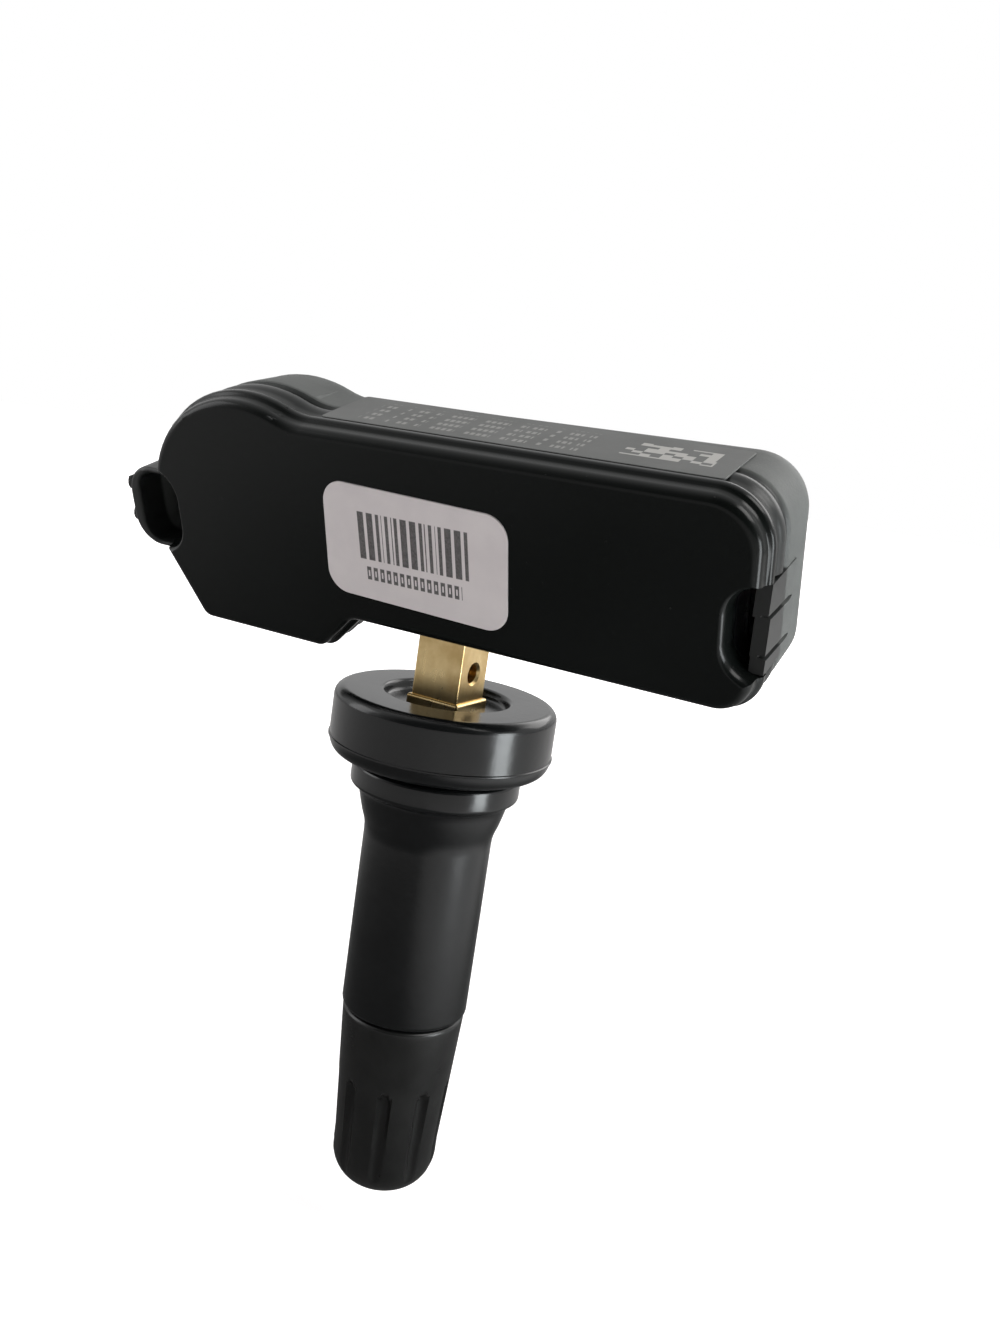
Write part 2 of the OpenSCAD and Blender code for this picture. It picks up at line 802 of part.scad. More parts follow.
// Section of the rubber valve, from the recess down to the barrel's end
flange_r = flange_d / 2;
recess_r = 5.2;
shoulder_r = 0.9;
lip_r = flange_r - 1.1;
ring_h = 2;
taper_l = 3.6;
function arc_points(cx, cz, rx, rz, a0, a1, steps) =
    [for (k = [0 : steps])
        let(a = a0 + (a1 - a0) * k / steps)
        [cx + rx * cos(a), cz + rz * sin(a)]];
rubber_profile = concat(
    [[0, recess_floor], [recess_r - 0.4, recess_floor], [recess_r, recess_floor + 0.3],
     [recess_r + 0.1, flange_h - 0.2], [recess_r + 0.3, flange_h]],
    arc_points(flange_r - shoulder_r, flange_h - shoulder_r, shoulder_r, shoulder_r, 90, 0, 6),
    [[flange_r + 0.1, parting_z + 0.08], [flange_r + 0.1, parting_z - 0.08]],
    arc_points(lip_r, parting_z, flange_r - lip_r, parting_z, -4, -90, 8),
    [[lip_r - 0.5, 0.2], [groove_d / 2 + 0.25, dish_h - 0.1], [groove_d / 2, dish_h - 0.4],
     [groove_d / 2, -ring_top + 0.3], [groove_d / 2 + 0.2, -ring_top],
     [ring_d / 2 - 0.4, -ring_top], [ring_d / 2, -ring_top - 0.4],
     [ring_d / 2, -ring_top - ring_h], [ring_d / 2 - 0.8, -ring_top - ring_h - 0.45],
     [ring_d / 2 - 0.95, -ring_top - ring_h - 1.2],
     [barrel_d / 2 + 0.25, -ring_top - ring_h - taper_l + 0.6],
     [barrel_d / 2, -ring_top - ring_h - taper_l],
     [barrel_d / 2, -barrel_end + 0.4], [barrel_d / 2 - 0.4, -barrel_end],
     [0, -barrel_end]]);
module rubber_valve() {
    color([0.05, 0.05, 0.05])
    difference() {
        rotate_extrude($fn = 96)
            polygon(rubber_profile);
        stem_outer();
        post_box(recess_floor - 2, post_top);
    }
}

module core_barrel() {
    color([0.78, 0.64, 0.35])
    difference() {
        union() {
            translate([0, 0, core_mouth])
                cylinder(r = core_r, h = core_seat - 0.6 - core_mouth, $fn = fine_fn);
            translate([0, 0, core_mouth])
                cylinder(r = core_neck_r, h = core_end - core_mouth, $fn = fine_fn);
        }
        translate([0, 0, core_mouth - 1])
            cylinder(r = core_bore_r, h = core_shelf - core_mouth + 1, $fn = fine_fn);
        translate([0, 0, core_mouth])
            cylinder(r = pin_r + 0.25, h = core_end - core_mouth + 1, $fn = fine_fn);
        for (s = [-1, 1])
            translate([s * 2.5 - 1.3, -4, core_mouth - 0.1])
                cube([2.6, 8, 1.2]);
    }
}

module core_gasket() {
    color([0.7, 0.15, 0.1])
    rotate_extrude($fn = fine_fn)
        polygon([[core_neck_r, core_seat - 0.6], [core_r, core_seat - 0.6], [core_r, core_seat],
                 [core_low_r, core_seat + seat_l], [core_low_r, core_seat + seat_l + 0.5],
                 [core_neck_r, core_seat + seat_l + 0.5]]);
}

module core_pin() {
    color([0.8, 0.8, 0.78])
    union() {
        translate([0, 0, core_mouth + 0.2])
            cylinder(r = pin_r, h = core_end + seal_t + 0.2 - core_mouth - 0.2, $fn = fine_fn);
        translate([0, 0, collar_z])
            cylinder(r = collar_r, h = collar_t, $fn = fine_fn);
        translate([0, 0, core_end + seal_t])
            cylinder(r = seal_r - 0.5, h = 0.3, $fn = fine_fn);
    }
}

module core_seal() {
    color([0.1, 0.1, 0.1])
    translate([0, 0, core_end])
        difference() {
            cylinder(r = seal_r, h = seal_t, $fn = fine_fn);
            translate([0, 0, -1])
                cylinder(r = pin_r, h = seal_t + 2, $fn = fine_fn);
        }
}

// Wire swept along a helix between the pin's collar and the barrel's shelf
module core_spring() {
    color([0.65, 0.65, 0.68])
    spring_wire_path(collar_z + collar_t + spring_wire / 2, core_shelf - spring_wire / 2,
                     (pin_r + core_bore_r) / 2, spring_wire / 2);
}
module spring_wire_path(z0, z1, r, wire_r) {
    sides = 6;
    steps = spring_turns * 12;
    rise = z1 - z0;
    slope = atan(rise / (2 * PI * r * spring_turns));
    points = [for (k = [0 : steps]) for (j = [0 : sides - 1])
        let(a = 30 * k,
            b = 360 * j / sides,
            out = wire_r * cos(b),
            up = wire_r * sin(b))
        [(r + out) * cos(a) + up * sin(slope) * sin(a),
         (r + out) * sin(a) - up * sin(slope) * cos(a),
         z0 + rise * k / steps + up * cos(slope)]];
    skin = [for (k = [0 : steps - 1]) for (j = [0 : sides - 1])
        let(n = (j + 1) % sides)
        [k * sides + j, k * sides + n, (k + 1) * sides + n, (k + 1) * sides + j]];
    ends = [[for (j = [sides - 1 : -1 : 0]) j], [for (j = [0 : sides - 1]) steps * sides + j]];
    polyhedron(points, concat(ends, skin), convexity = 8);
}

cap_profile = concat(
    [[0, cap_top], [cap_d / 2 - 0.3, cap_top], [cap_d / 2, cap_top - 0.3],
     [cap_tip_d / 2, cap_tip + dome_h]],
    arc_points(cap_tip_d / 2 - 2.6, cap_tip + 3.2, 2.6, 3.2, 0, -90, 8),
    [[0, cap_tip]]);
module cap() {
    color([0.05, 0.05, 0.055])
    difference() {
        rotate_extrude($fn = 96)
            polygon(cap_profile);
        translate([0, 0, washer_z - fit_gap])
            cylinder(r = cap_bore_r, h = cap_top - washer_z + 1, $fn = round_fn);
        translate([0, 0, washer_z - 2.4])
            cylinder(r = cap_bore_r - 1.2, h = 3, $fn = round_fn);
        for (i = [0 : flutes - 1])
            rotate([0, 0, 360 * (i + 0.35) / flutes])
                translate([cap_tip_d / 2 + 0.25, 0, cap_tip + 1])
                    cylinder(r = flute_r, h = flute_top - cap_tip - 1, $fn = fine_fn);
    }
}

module cap_washer() {
    color([0.12, 0.12, 0.12])
    translate([0, 0, washer_z])
        cylinder(r = cap_bore_r - 0.3, h = washer_t, $fn = round_fn);
}

housing();
cover();
front_label();
top_label();
circuit_board();
coin_cell();
battery_tab_positive();
battery_tab_negative();
sensor_chip();
port_seal();
port_membrane();
antenna();
lf_coil_core();
lf_coil_winding();
crystal();
chip_capacitors();
chip_resistors();
post_screw();
brass_stem();
rubber_valve();
core_barrel();
core_gasket();
core_pin();
core_seal();
core_spring();
cap();
cap_washer();
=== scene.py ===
"""Looks of a snap-in tyre pressure sensor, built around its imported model.

Sizes are in millimetres. Those of the case stand in the case frame: x runs along the case,
y is the depth behind its face and z is up. Those of the valve stand in the row frame. A
piece's mesh is put in place, in metres, when it is finished, so its object stays unmoved.
"""

from __future__ import annotations

import logging
import math
from dataclasses import dataclass, field
from enum import Enum
from typing import Callable, Optional, Sequence, Union

import bmesh
import bpy
from mathutils import Matrix, Vector


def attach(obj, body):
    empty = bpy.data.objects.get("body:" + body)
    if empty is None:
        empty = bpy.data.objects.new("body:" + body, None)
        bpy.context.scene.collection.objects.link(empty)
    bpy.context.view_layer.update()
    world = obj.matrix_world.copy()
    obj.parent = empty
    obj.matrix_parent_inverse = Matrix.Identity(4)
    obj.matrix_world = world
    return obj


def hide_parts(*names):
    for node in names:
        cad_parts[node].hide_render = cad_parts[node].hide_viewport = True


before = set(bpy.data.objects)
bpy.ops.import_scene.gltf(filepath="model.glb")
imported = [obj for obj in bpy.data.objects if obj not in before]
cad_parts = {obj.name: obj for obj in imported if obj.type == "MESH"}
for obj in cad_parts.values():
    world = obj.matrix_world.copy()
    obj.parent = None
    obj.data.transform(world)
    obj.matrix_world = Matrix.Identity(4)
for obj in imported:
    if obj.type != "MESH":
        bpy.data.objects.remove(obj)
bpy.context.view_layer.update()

log = logging.getLogger("sensor")

Point = tuple[float, float]
Colour = tuple[float, float, float]

MM = 0.001
LEAN = math.radians(20)
LEAN_HEIGHT = 1.95
POST_DEPTH = 2.4
POST_DROP = 10
SCREW_HEIGHT = 17.65
ROD_SIDES = 48
TOUCH = 0.01
BEVEL_ANGLE = math.radians(50)
VALVE_PLACE = Matrix.Scale(MM, 4)
CASE_PLACE = (
    VALVE_PLACE
    @ Matrix.Translation((0, 0, LEAN_HEIGHT))
    @ Matrix.Rotation(LEAN, 4, "X")
    @ Matrix.Translation((0, -POST_DEPTH, POST_DROP))
)


class Body(Enum):
    """The bodies that pieces ride on."""

    SENSOR = "sensor"
    WASHER = "washer"
    CAP = "cap"
    CORE = "core"


class Joining(Enum):
    """How a second solid is set against the first."""

    CUT = "DIFFERENCE"
    ADD = "UNION"
    KEEP = "INTERSECT"


def arc(cx: float, cz: float, rx: float, rz: float, start: float, end: float, steps: int) -> list[Point]:
    """Points on an elliptic arc.

    Args:
        cx: Centre across.
        cz: Centre up.
        rx: Radius across.
        rz: Radius up.
        start: First angle in degrees.
        end: Last angle in degrees.
        steps: Number of stretches.

    Returns:
        The points, both ends included.
    """
    angles = [math.radians(start + (end - start) * k / steps) for k in range(steps + 1)]
    return [(cx + rx * math.cos(a), cz + rz * math.sin(a)) for a in angles]


@dataclass(frozen=True)
class Corner:
    """A rounded corner of an outline."""

    x: float
    z: float
    radius: float


def rounded(corners: Sequence[Corner], inset: float, fineness: float = 5.0) -> list[Point]:
    """Rounds an outline's corners after moving the outline inwards.

    Args:
        corners: The corners, anticlockwise.
        inset: How far the outline moves inwards; below zero it grows.
        fineness: Degrees of an arc to one stretch.

    Returns:
        Points round the outline, as many for every inset.
    """
    points: list[Point] = []
    for i, corner in enumerate(corners):
        here = Vector((corner.x, corner.z))
        before, after = corners[i - 1], corners[(i + 1) % len(corners)]
        u = (here - Vector((before.x, before.z))).normalized()
        v = (Vector((after.x, after.z)) - here).normalized()
        side = 1 if u.x * v.y - u.y * v.x > 0 else -1
        nu, nv = Vector((-u.y, u.x)), Vector((-v.y, v.x))
        turn = side * math.acos(max(-1.0, min(1.0, u.dot(v))))
        keep = max(corner.radius, inset + 0.3) if side > 0 else corner.radius
        middle = here + (nu + nv) * (side * keep / (1 + nu.dot(nv)))
        start = math.atan2(-side * nu.y, -side * nu.x)
        steps = max(3, math.ceil(abs(math.degrees(turn)) / fineness))
        reach = keep - side * inset
        for k in range(steps + 1):
            angle = start + turn * k / steps
            points.append((middle.x + reach * math.cos(angle), middle.y + reach * math.sin(angle)))
    return points


def quarter_turn(steps: int) -> list[float]:
    """Angles of a quarter turn, both ends included."""
    return [math.pi / 2 * k / steps for k in range(steps + 1)]


class Workpiece:
    """A solid in the making, in millimetres, with the steps that shape it."""

    def __init__(self, name: str) -> None:
        """Starts an empty solid with its name in the scene."""
        self.name = name
        self.bm = bmesh.new()

    def loft(self, rings: Sequence[Sequence[Vector]]) -> "Workpiece":
        """Draws a ring out through the others and closes both ends."""
        made = bmesh.ops.create_circle(self.bm, cap_ends=True, radius=1, segments=len(rings[0]))
        verts = list(made["verts"])
        edges = [self.bm.edges.get((verts[i - 1], verts[i])) for i in range(len(verts))]
        for vert, point in zip(verts, rings[0]):
            vert.co = point
        for ring in rings[1:]:
            drawn = bmesh.ops.extrude_edge_only(self.bm, edges=edges)["geom"]
            fresh = {v for v in drawn if isinstance(v, bmesh.types.BMVert)}
            old_edges = set(edges)
            following: list[bmesh.types.BMVert] = []
            for vert in verts:
                links = [e for e in vert.link_edges if e not in old_edges]
                following.append(next(e.other_vert(vert) for e in links if e.other_vert(vert) in fresh))
            verts = following
            edges = [self.bm.edges.get((verts[i - 1], verts[i])) for i in range(len(verts))]
            for vert, point in zip(verts, ring):
                vert.co = point
        bmesh.ops.contextual_create(self.bm, geom=edges)
        bmesh.ops.recalc_face_normals(self.bm, faces=self.bm.faces)
        return self

    def bar(self, low: Sequence[float], high: Sequence[float], edge: float = 0) -> "Workpiece":
        """Adds a bar between two corners, its edges rounded.

        Args:
            low: The lowest corner.
            high: The highest corner.
            edge: Radius of its edges.

        Returns:
            This workpiece.
        """
        made = bmesh.ops.create_cube(self.bm, size=1)["verts"]
        size = Vector(high) - Vector(low)
        bmesh.ops.scale(self.bm, vec=size, verts=made)
        bmesh.ops.translate(self.bm, vec=(Vector(low) + Vector(high)) / 2, verts=made)
        if edge:
            bmesh.ops.bevel(
                self.bm,
                geom=list({e for v in made for e in v.link_edges}),
                offset=edge,
                offset_type="OFFSET",
                segments=3,
                profile=0.5,
                affect="EDGES",
                clamp_overlap=True,
                material=-1,
            )
        return self

    def rod(
        self, start: Sequence[float], end: Sequence[float], radius: float, end_radius: float = 0
    ) -> "Workpiece":
        """Adds a round rod, tapered where it has a second radius."""
        line = Vector(end) - Vector(start)
        turn = line.to_track_quat("Z", "Y").to_matrix().to_4x4()
        place = Matrix.Translation((Vector(start) + Vector(end)) / 2) @ turn
        bmesh.ops.create_cone(
            self.bm,
            cap_ends=True,
            segments=ROD_SIDES,
            radius1=radius,
            radius2=end_radius or radius,
            depth=line.length,
            matrix=place,
        )
        return self

    def lathe(self, profile: Sequence[Point], segments: int) -> "Workpiece":
        """Turns a profile of radius and height about the valve's axis."""
        closed = profile[0][0] > 1e-6
        verts = [self.bm.verts.new((r, 0, z)) for r, z in profile]
        count = len(verts)
        ends = range(count) if closed else range(count - 1)
        edges = [self.bm.edges.new((verts[i], verts[(i + 1) % count])) for i in ends]
        bmesh.ops.spin(
            self.bm,
            geom=verts + edges,
            cent=(0, 0, 0),
            axis=(0, 0, 1),
            angle=math.tau,
            steps=segments,
            use_merge=True,
        )
        bmesh.ops.remove_doubles(self.bm, verts=self.bm.verts, dist=1e-4)
        bmesh.ops.recalc_face_normals(self.bm, faces=self.bm.faces)
        return self

    def shape(self, move: Callable[[Vector], Vector]) -> "Workpiece":
        """Moves every point of the solid by a rule."""
        for vert in self.bm.verts:
            vert.co = move(vert.co)
        return self

    def to_object(self) -> bpy.types.Object:
        """Closes the workpiece into an object that is still in millimetres."""
        mesh = bpy.data.meshes.new(self.name)
        self.bm.to_mesh(mesh)
        self.bm.free()
        made = bpy.data.objects.new(self.name, mesh)
        bpy.context.scene.collection.objects.link(made)
        return made


def slab(name: str, corners: Sequence[Corner], rings: Sequence[Point]) -> Workpiece:
    """Draws a rounded outline along the depth.

    Args:
        name: The solid's name.
        corners: The outline's corners, anticlockwise.
        rings: Depths, each with the outline's inset there.

    Returns:
        The solid in the making.
    """
    loops = [[Vector((x, depth, z)) for x, z in rounded(corners, inset)] for depth, inset in rings]
    return Workpiece(name).loft(loops)


class Solid:
    """An object in millimetres that other solids are joined to or cut from."""

    def __init__(self, work: Workpiece) -> None:
        """Takes over a workpiece."""
        self.object = work.to_object()

    def combine(self, other: Union[Workpiece, "Solid"], joining: Joining) -> "Solid":
        """Sets another solid against this one and uses it up.

        Args:
            other: The second solid.
            joining: Cut it out, add it or keep what they share.

        Returns:
            This solid.
        """
        tool = other.object if isinstance(other, Solid) else other.to_object()
        modifier = self.object.modifiers.new("combine", "BOOLEAN")
        modifier.object = tool
        modifier.operation = joining.value
        modifier.solver = "EXACT"
        modifier.use_self = joining is not Joining.KEEP
        bpy.context.view_layer.update()
        shaped = self.object.evaluated_get(bpy.context.evaluated_depsgraph_get())
        mesh = bpy.data.meshes.new_from_object(shaped)
        self.object.modifiers.clear()
        self.object.data = mesh
        bpy.data.objects.remove(tool)
        return self

    def cut(self, other: Union[Workpiece, "Solid"]) -> "Solid":
        """Cuts another solid out of this one."""
        return self.combine(other, Joining.CUT)

    def add(self, other: Union[Workpiece, "Solid"]) -> "Solid":
        """Adds another solid to this one."""
        return self.combine(other, Joining.ADD)


@dataclass(frozen=True)
class Placing:
    """Where a finished piece belongs."""

    body: Body
    slot: str
    replaces: tuple[str, ...]
    place: Matrix = field(default_factory=lambda: VALVE_PLACE)


def settle(
    solid: Union[Workpiece, Solid],
    placing: Placing,
    finish: "Finish",
    bevel: float = 0,
    smooth_angle: float = 32,
) -> None:
    """Puts a solid in place and dresses it.

    Args:
        solid: The solid, in millimetres.
        placing: Its body, slot, replaced nodes and place.
        finish: What it is made of.
        bevel: Radius of its sharp edges in millimetres, or zero to leave them.
        smooth_angle: Edges turned by more degrees than this stay sharp.
    """
    piece = solid.object if isinstance(solid, Solid) else solid.to_object()
    piece.data.transform(placing.place)
    piece.data.materials.clear()
    piece.data.materials.append(finish.material())
    piece.data.polygons.foreach_set("use_smooth", [True] * len(piece.data.polygons))
    piece.data.set_sharp_from_angle(angle=math.radians(smooth_angle))
    if bevel:
        rounding = piece.modifiers.new("edges", "BEVEL")
        rounding.limit_method = "ANGLE"
        rounding.angle_limit = BEVEL_ANGLE
        rounding.width = bevel * MM
        rounding.segments = 2
        rounding.use_clamp_overlap = True
        rounding.harden_normals = False
    weighted = piece.modifiers.new("normals", "WEIGHTED_NORMAL")
    weighted.keep_sharp = True
    weighted.weight = 100
    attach(piece, placing.body.value)
    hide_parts(*placing.replaces)
    log.info("%s: %d faces", piece.name, len(piece.data.polygons))


class NodeTree:
    """The nodes of a material or of the world, made by one method."""

    def __init__(self, tree: bpy.types.NodeTree) -> None:
        """Takes over a tree and empties it."""
        self.tree = tree
        self.tree.nodes.clear()

    def node(
        self, kind: str, settings: Optional[dict] = None, out: Union[int, str, None] = 0, **inputs: object
    ) -> Optional["Value"]:
        """Adds a node.

        Args:
            kind: Its type, without the usual first word.
            settings: Its own settings, set before its sockets.
            out: The output that is wanted, or nothing for a node without one.
            **inputs: Values or links by socket name, with _ for a space; i0 is the first socket.

        Returns:
            The output, ready for sums, if one is wanted.
        """
        made = self.tree.nodes.new("ShaderNode" + kind)
        for key, value in (settings or {}).items():
            setattr(made, key, value)
        for key, value in inputs.items():
            index = key[1:]
            name = int(index) if index.isdigit() else key.replace("_", " ")
            self.feed(made.inputs[name], value)
        return None if out is None else Value(self, made.outputs[out])

    def feed(self, socket: bpy.types.NodeSocket, value: object) -> None:
        """Links or sets a socket."""
        if isinstance(value, Value):
            self.tree.links.new(value.socket, socket)
        elif isinstance(value, tuple) and len(value) == 3 and socket.type == "RGBA":
            socket.default_value = (*value, 1)
        else:
            socket.default_value = value


class Shader(NodeTree):
    """A material with its surface shader."""

    def __init__(self, name: str) -> None:
        """Starts a material."""
        self.data = bpy.data.materials.new(name)
        self.data.use_nodes = True
        super().__init__(self.data.node_tree)
        self.surface = self.tree.nodes.new("ShaderNodeBsdfPrincipled")
        self.node("OutputMaterial", out=None, Surface=Value(self, self.surface.outputs[0]))

    def set(self, **inputs: object) -> "Shader":
        """Sets or links the surface shader's sockets."""
        for key, value in inputs.items():
            self.feed(self.surface.inputs[key.replace("_", " ")], value)
        return self

    def coords(self, place: Optional[Matrix] = None) -> "Value":
        """Object coordinates in millimetres of a frame.

        Args:
            place: The frame's place in metres, or nothing for the row frame.

        Returns:
            The coordinates as a vector.
        """
        shift, turn, scale = (place or VALVE_PLACE).inverted().decompose()
        return self.node(
            "Mapping",
            {"vector_type": "POINT"},
            Vector=self.node("TexCoord", out="Object"),
            Location=tuple(shift),
            Rotation=tuple(turn.to_euler()),
            Scale=tuple(scale),
        )

    def noise(self, at: "Value", scale: float, detail: float = 3, roughness: float = 0.55) -> "Value":
        """A noise from 0 to 1 over coordinates."""
        return self.node("TexNoise", Vector=at, Scale=scale, Detail=detail, Roughness=roughness)

    def colours(self, factor: "Value", first: object, second: object) -> "Value":
        """Mixes two colours."""
        settings = {"data_type": "RGBA", "clamp_factor": True}
        return self.node("Mix", settings, out=2, i0=factor, i6=first, i7=second)

    def bump(self, height: "Value", distance: float) -> "Value":
        """A bump of a height, whose full height is a distance in millimetres."""
        return self.node("Bump", Height=height, Distance=distance * MM, Strength=1)


def math_method(operation: str) -> Callable[["Value", object], "Value"]:
    """Makes a method that adds a Math node.

    Args:
        operation: The node's operation.

    Returns:
        The method.
    """
    return lambda self, other: self.maths(operation, other)


class Value:
    """A shader socket that sums, products and comparisons can be written with."""

    def __init__(self, shader: NodeTree, socket: bpy.types.NodeSocket) -> None:
        """Wraps a socket."""
        self.shader = shader
        self.socket = socket

    def maths(self, operation: str, *others: object) -> "Value":
        """A Math node on this value and others."""
        inputs = {"i%d" % i: value for i, value in enumerate((self, *others))}
        return self.shader.node("Math", {"operation": operation}, **inputs)

    __add__ = __radd__ = math_method("ADD")
    __sub__ = math_method("SUBTRACT")
    __mul__ = __rmul__ = math_method("MULTIPLY")
    __truediv__ = math_method("DIVIDE")
    __gt__ = math_method("GREATER_THAN")
    __lt__ = math_method("LESS_THAN")
    __mod__ = math_method("FLOORED_MODULO")

    def __rsub__(self, other: float) -> "Value":
        """Difference from a number."""
        return self.maths("MULTIPLY_ADD", -1.0, other)

    def __abs__(self) -> "Value":
        """Size without the sign."""
        return self.maths("ABSOLUTE")

    def ramp(self, low: float, high: float, first: float = 0, second: float = 1) -> "Value":
        """Goes smoothly from one value to another between two limits."""
        settings = {"interpolation_type": "SMOOTHSTEP"}
        inputs = {"Value": self, "i1": low, "i2": high, "i3": first, "i4": second}
        return self.shader.node("MapRange", settings, **inputs)

    def split(self) -> tuple["Value", "Value", "Value"]:
        """The three parts of a vector."""
        parts = self.shader.node("SeparateXYZ", i0=self).socket.node.outputs
        return tuple(Value(self.shader, part) for part in parts)


@dataclass(frozen=True)
class Finish:
    """A plain finish with grain, smears and a little colour change."""

    name: str
    colour: Colour
    shade: Colour
    roughness: float = 0.5
    smear: float = 0.08
    grain: float = 3.0
    depth: float = 0.02
    metallic: float = 0.0
    coat: float = 0.0
    coat_roughness: float = 0.1
    specular: float = 0.5
    patch: float = 0.25
    place: Matrix = field(default_factory=lambda: VALVE_PLACE, compare=False)

    def material(self) -> bpy.types.Material:
        """The finish's material, made once."""
        kept = bpy.data.materials.get(self.name)
        if kept:
            return kept
        shader = Shader(self.name)
        at = shader.coords(self.place)
        self.paint(shader, at)
        return shader.data

    def paint(self, shader: Shader, at: Value) -> None:
        """Links the finish's nodes.

        Args:
            shader: The material in the making.
            at: Coordinates in millimetres.
        """
        patches = shader.noise(at, self.patch, 4)
        grain = shader.noise(at, self.grain, 2)
        shader.set(
            Base_Color=self.tone(shader, patches),
            Roughness=self.rough(patches, grain),
            Metallic=self.metallic,
            Coat_Weight=self.coat,
            Coat_Roughness=self.coat_roughness,
            Specular_IOR_Level=self.specular,
            Normal=shader.bump(grain, self.depth),
        )

    def tone(self, shader: Shader, patches: Value, low: float = 0.3) -> Value:
        """Colour that goes over to the shade in the patches above a level."""
        return shader.colours(patches.ramp(low, 0.7), self.colour, self.shade)

    def rough(self, patches: Value, grain: Value) -> Value:
        """Roughness from the patches and the grain."""
        return patches * self.smear + grain * (self.smear * 0.5) + (self.roughness - self.smear * 0.75)


@dataclass(frozen=True)
class ShellPlastic(Finish):
    """Matte moulded plastic of the rear shell, glossy on its front band."""

    band: float = 4.9
    band_colour: Colour = (0.014, 0.0155, 0.015)
    band_roughness: float = 0.36

    def paint(self, shader: Shader, at: Value) -> None:
        """Adds the glossy band to the fine moulded texture."""
        _, depth, _ = at.split()
        patches = shader.noise(at, self.patch, 4)
        grain = shader.noise(at, self.grain, 3)
        pores = shader.noise(at, self.grain * 3.1, 1)
        behind = (depth + patches * 0.3).ramp(self.band, self.band + 0.5)
        height = grain * 0.7 + pores * 0.3
        shader.set(
            Base_Color=shader.colours(behind, self.band_colour, self.tone(shader, patches)),
            Roughness=behind * (self.rough(patches, grain) - self.band_roughness) + self.band_roughness,
            Specular_IOR_Level=self.specular,
            Normal=shader.bump(height * (behind * 0.9 + 0.1), self.depth),
        )


@dataclass(frozen=True)
class CoverPlastic(Finish):
    """Polished dark plastic with slow shading, a fine skin and specks of dust."""

    slow: float = 0.09
    skin: float = 2.2
    dust: float = 4.5
    dust_colour: Colour = (0.3, 0.3, 0.29)

    def paint(self, shader: Shader, at: Value) -> None:
        """Adds dust and a fine skin to the gloss."""
        slow = shader.noise(at, self.slow, 1)
        skin = shader.noise(at, self.skin, 2)
        dust = shader.noise(at, self.dust, 1).ramp(0.76, 0.84)
        shade = shader.colours(slow, self.colour, self.shade)
        shader.set(
            Base_Color=shader.colours(dust * 0.12, shade, self.dust_colour),
            Roughness=slow * self.smear + skin * 0.04 + dust * 0.1 + self.roughness,
            Specular_IOR_Level=self.specular,
            Normal=shader.bump(skin, self.depth),
        )


@dataclass(frozen=True)
class StickerFilm(Finish):
    """White printed film: plain upright bars over a row of small pierced blocks."""

    ink: Colour = (0.04, 0.038, 0.038)
    soft: float = 0.03
    block: float = 0.62

    def paint(self, shader: Shader, at: Value) -> None:
        """Prints bars and blocks by a rule."""
        x, _, z = at.split()
        fibre = shader.noise(at, 6, 3)
        patches = shader.noise(at, 0.3, 3)
        stripes = ((x * 7.9).maths("SINE") + (x * 14.3 + 1.3).maths("SINE") * 0.9) > -0.1
        bars = stripes * self.between(x, -5.1, 5.1) * self.between(z, 6.4, 10.3)
        step = x % self.block
        blocks = (step < 0.4) * self.between(x, -4.4, 4.4) * self.between(z, 4.7, 5.8)
        holes = (step > 0.13) * (step < 0.27) * self.between(z, 5.0, 5.5)
        ink = (bars + blocks * (1 - holes)).maths("MINIMUM", 1.0)
        paper = self.tone(shader, patches)
        shader.set(
            Base_Color=shader.colours(ink * (fibre * 0.25 + 0.75), paper, self.ink),
            Roughness=self.rough(patches, fibre) - ink * 0.08,
            Specular_IOR_Level=self.specular,
            Normal=shader.bump(fibre, self.depth),
        )

    def between(self, value: Value, low: float, high: float) -> Value:
        """One between two limits, with edges as soft as print."""
        soft = self.soft
        return value.ramp(low - soft, low + soft) * value.ramp(high - soft, high + soft, 1, 0)


@dataclass(frozen=True)
class TopFilm(StickerFilm):
    """Dark grey film with pale rows of dots and a square of plain blocks."""

    def paint(self, shader: Shader, at: Value) -> None:
        """Prints rows and a square block pattern by a rule."""
        x, y, _ = at.split()
        fibre = shader.noise(at, 5, 3)
        patches = shader.noise(at, 0.22, 3)
        cell = (x / 0.75).maths("FLOOR") * 12.9 + (y / 0.42).maths("FLOOR") * 78.2
        speckle = (cell.maths("SINE") * 43.7).maths("FRACT") > 0.45
        square = speckle * self.between(x, 15.1, 21.9) * self.between(y, 4.0, 6.9)
        rows = ((y % 1.05) < 0.5) * self.between(y, 3.1, 7.4)
        dashes = ((x * 1.9).maths("SINE") + (x * 4.3).maths("SINE")) > -0.2
        words = rows * dashes * ((x % 0.5) < 0.34) * self.between(x, -6.5, 12.6) * 0.4
        ink = (square * 0.85 + words).maths("MINIMUM", 1.0)
        shader.set(
            Base_Color=shader.colours(ink, self.tone(shader, patches), self.ink),
            Roughness=self.rough(patches, fibre),
            Specular_IOR_Level=self.specular,
            Normal=shader.bump(fibre, self.depth),
        )


@dataclass(frozen=True)
class BrushedMetal(Finish):
    """Metal with drawn or turned lines along an axis, and dull patches."""

    stretch: tuple[float, float, float] = (1.0, 1.0, 0.08)

    def paint(self, shader: Shader, at: Value) -> None:
        """Draws lines along the metal."""
        drawn = shader.node("VectorMath", {"operation": "MULTIPLY"}, i0=at, i1=self.stretch)
        lines = shader.noise(drawn, self.grain, 3)
        patches = shader.noise(at, self.patch, 4)
        shader.set(
            Base_Color=self.tone(shader, patches, 0.35),
            Roughness=self.rough(patches, lines),
            Metallic=self.metallic,
            Normal=shader.bump(lines, self.depth),
        )


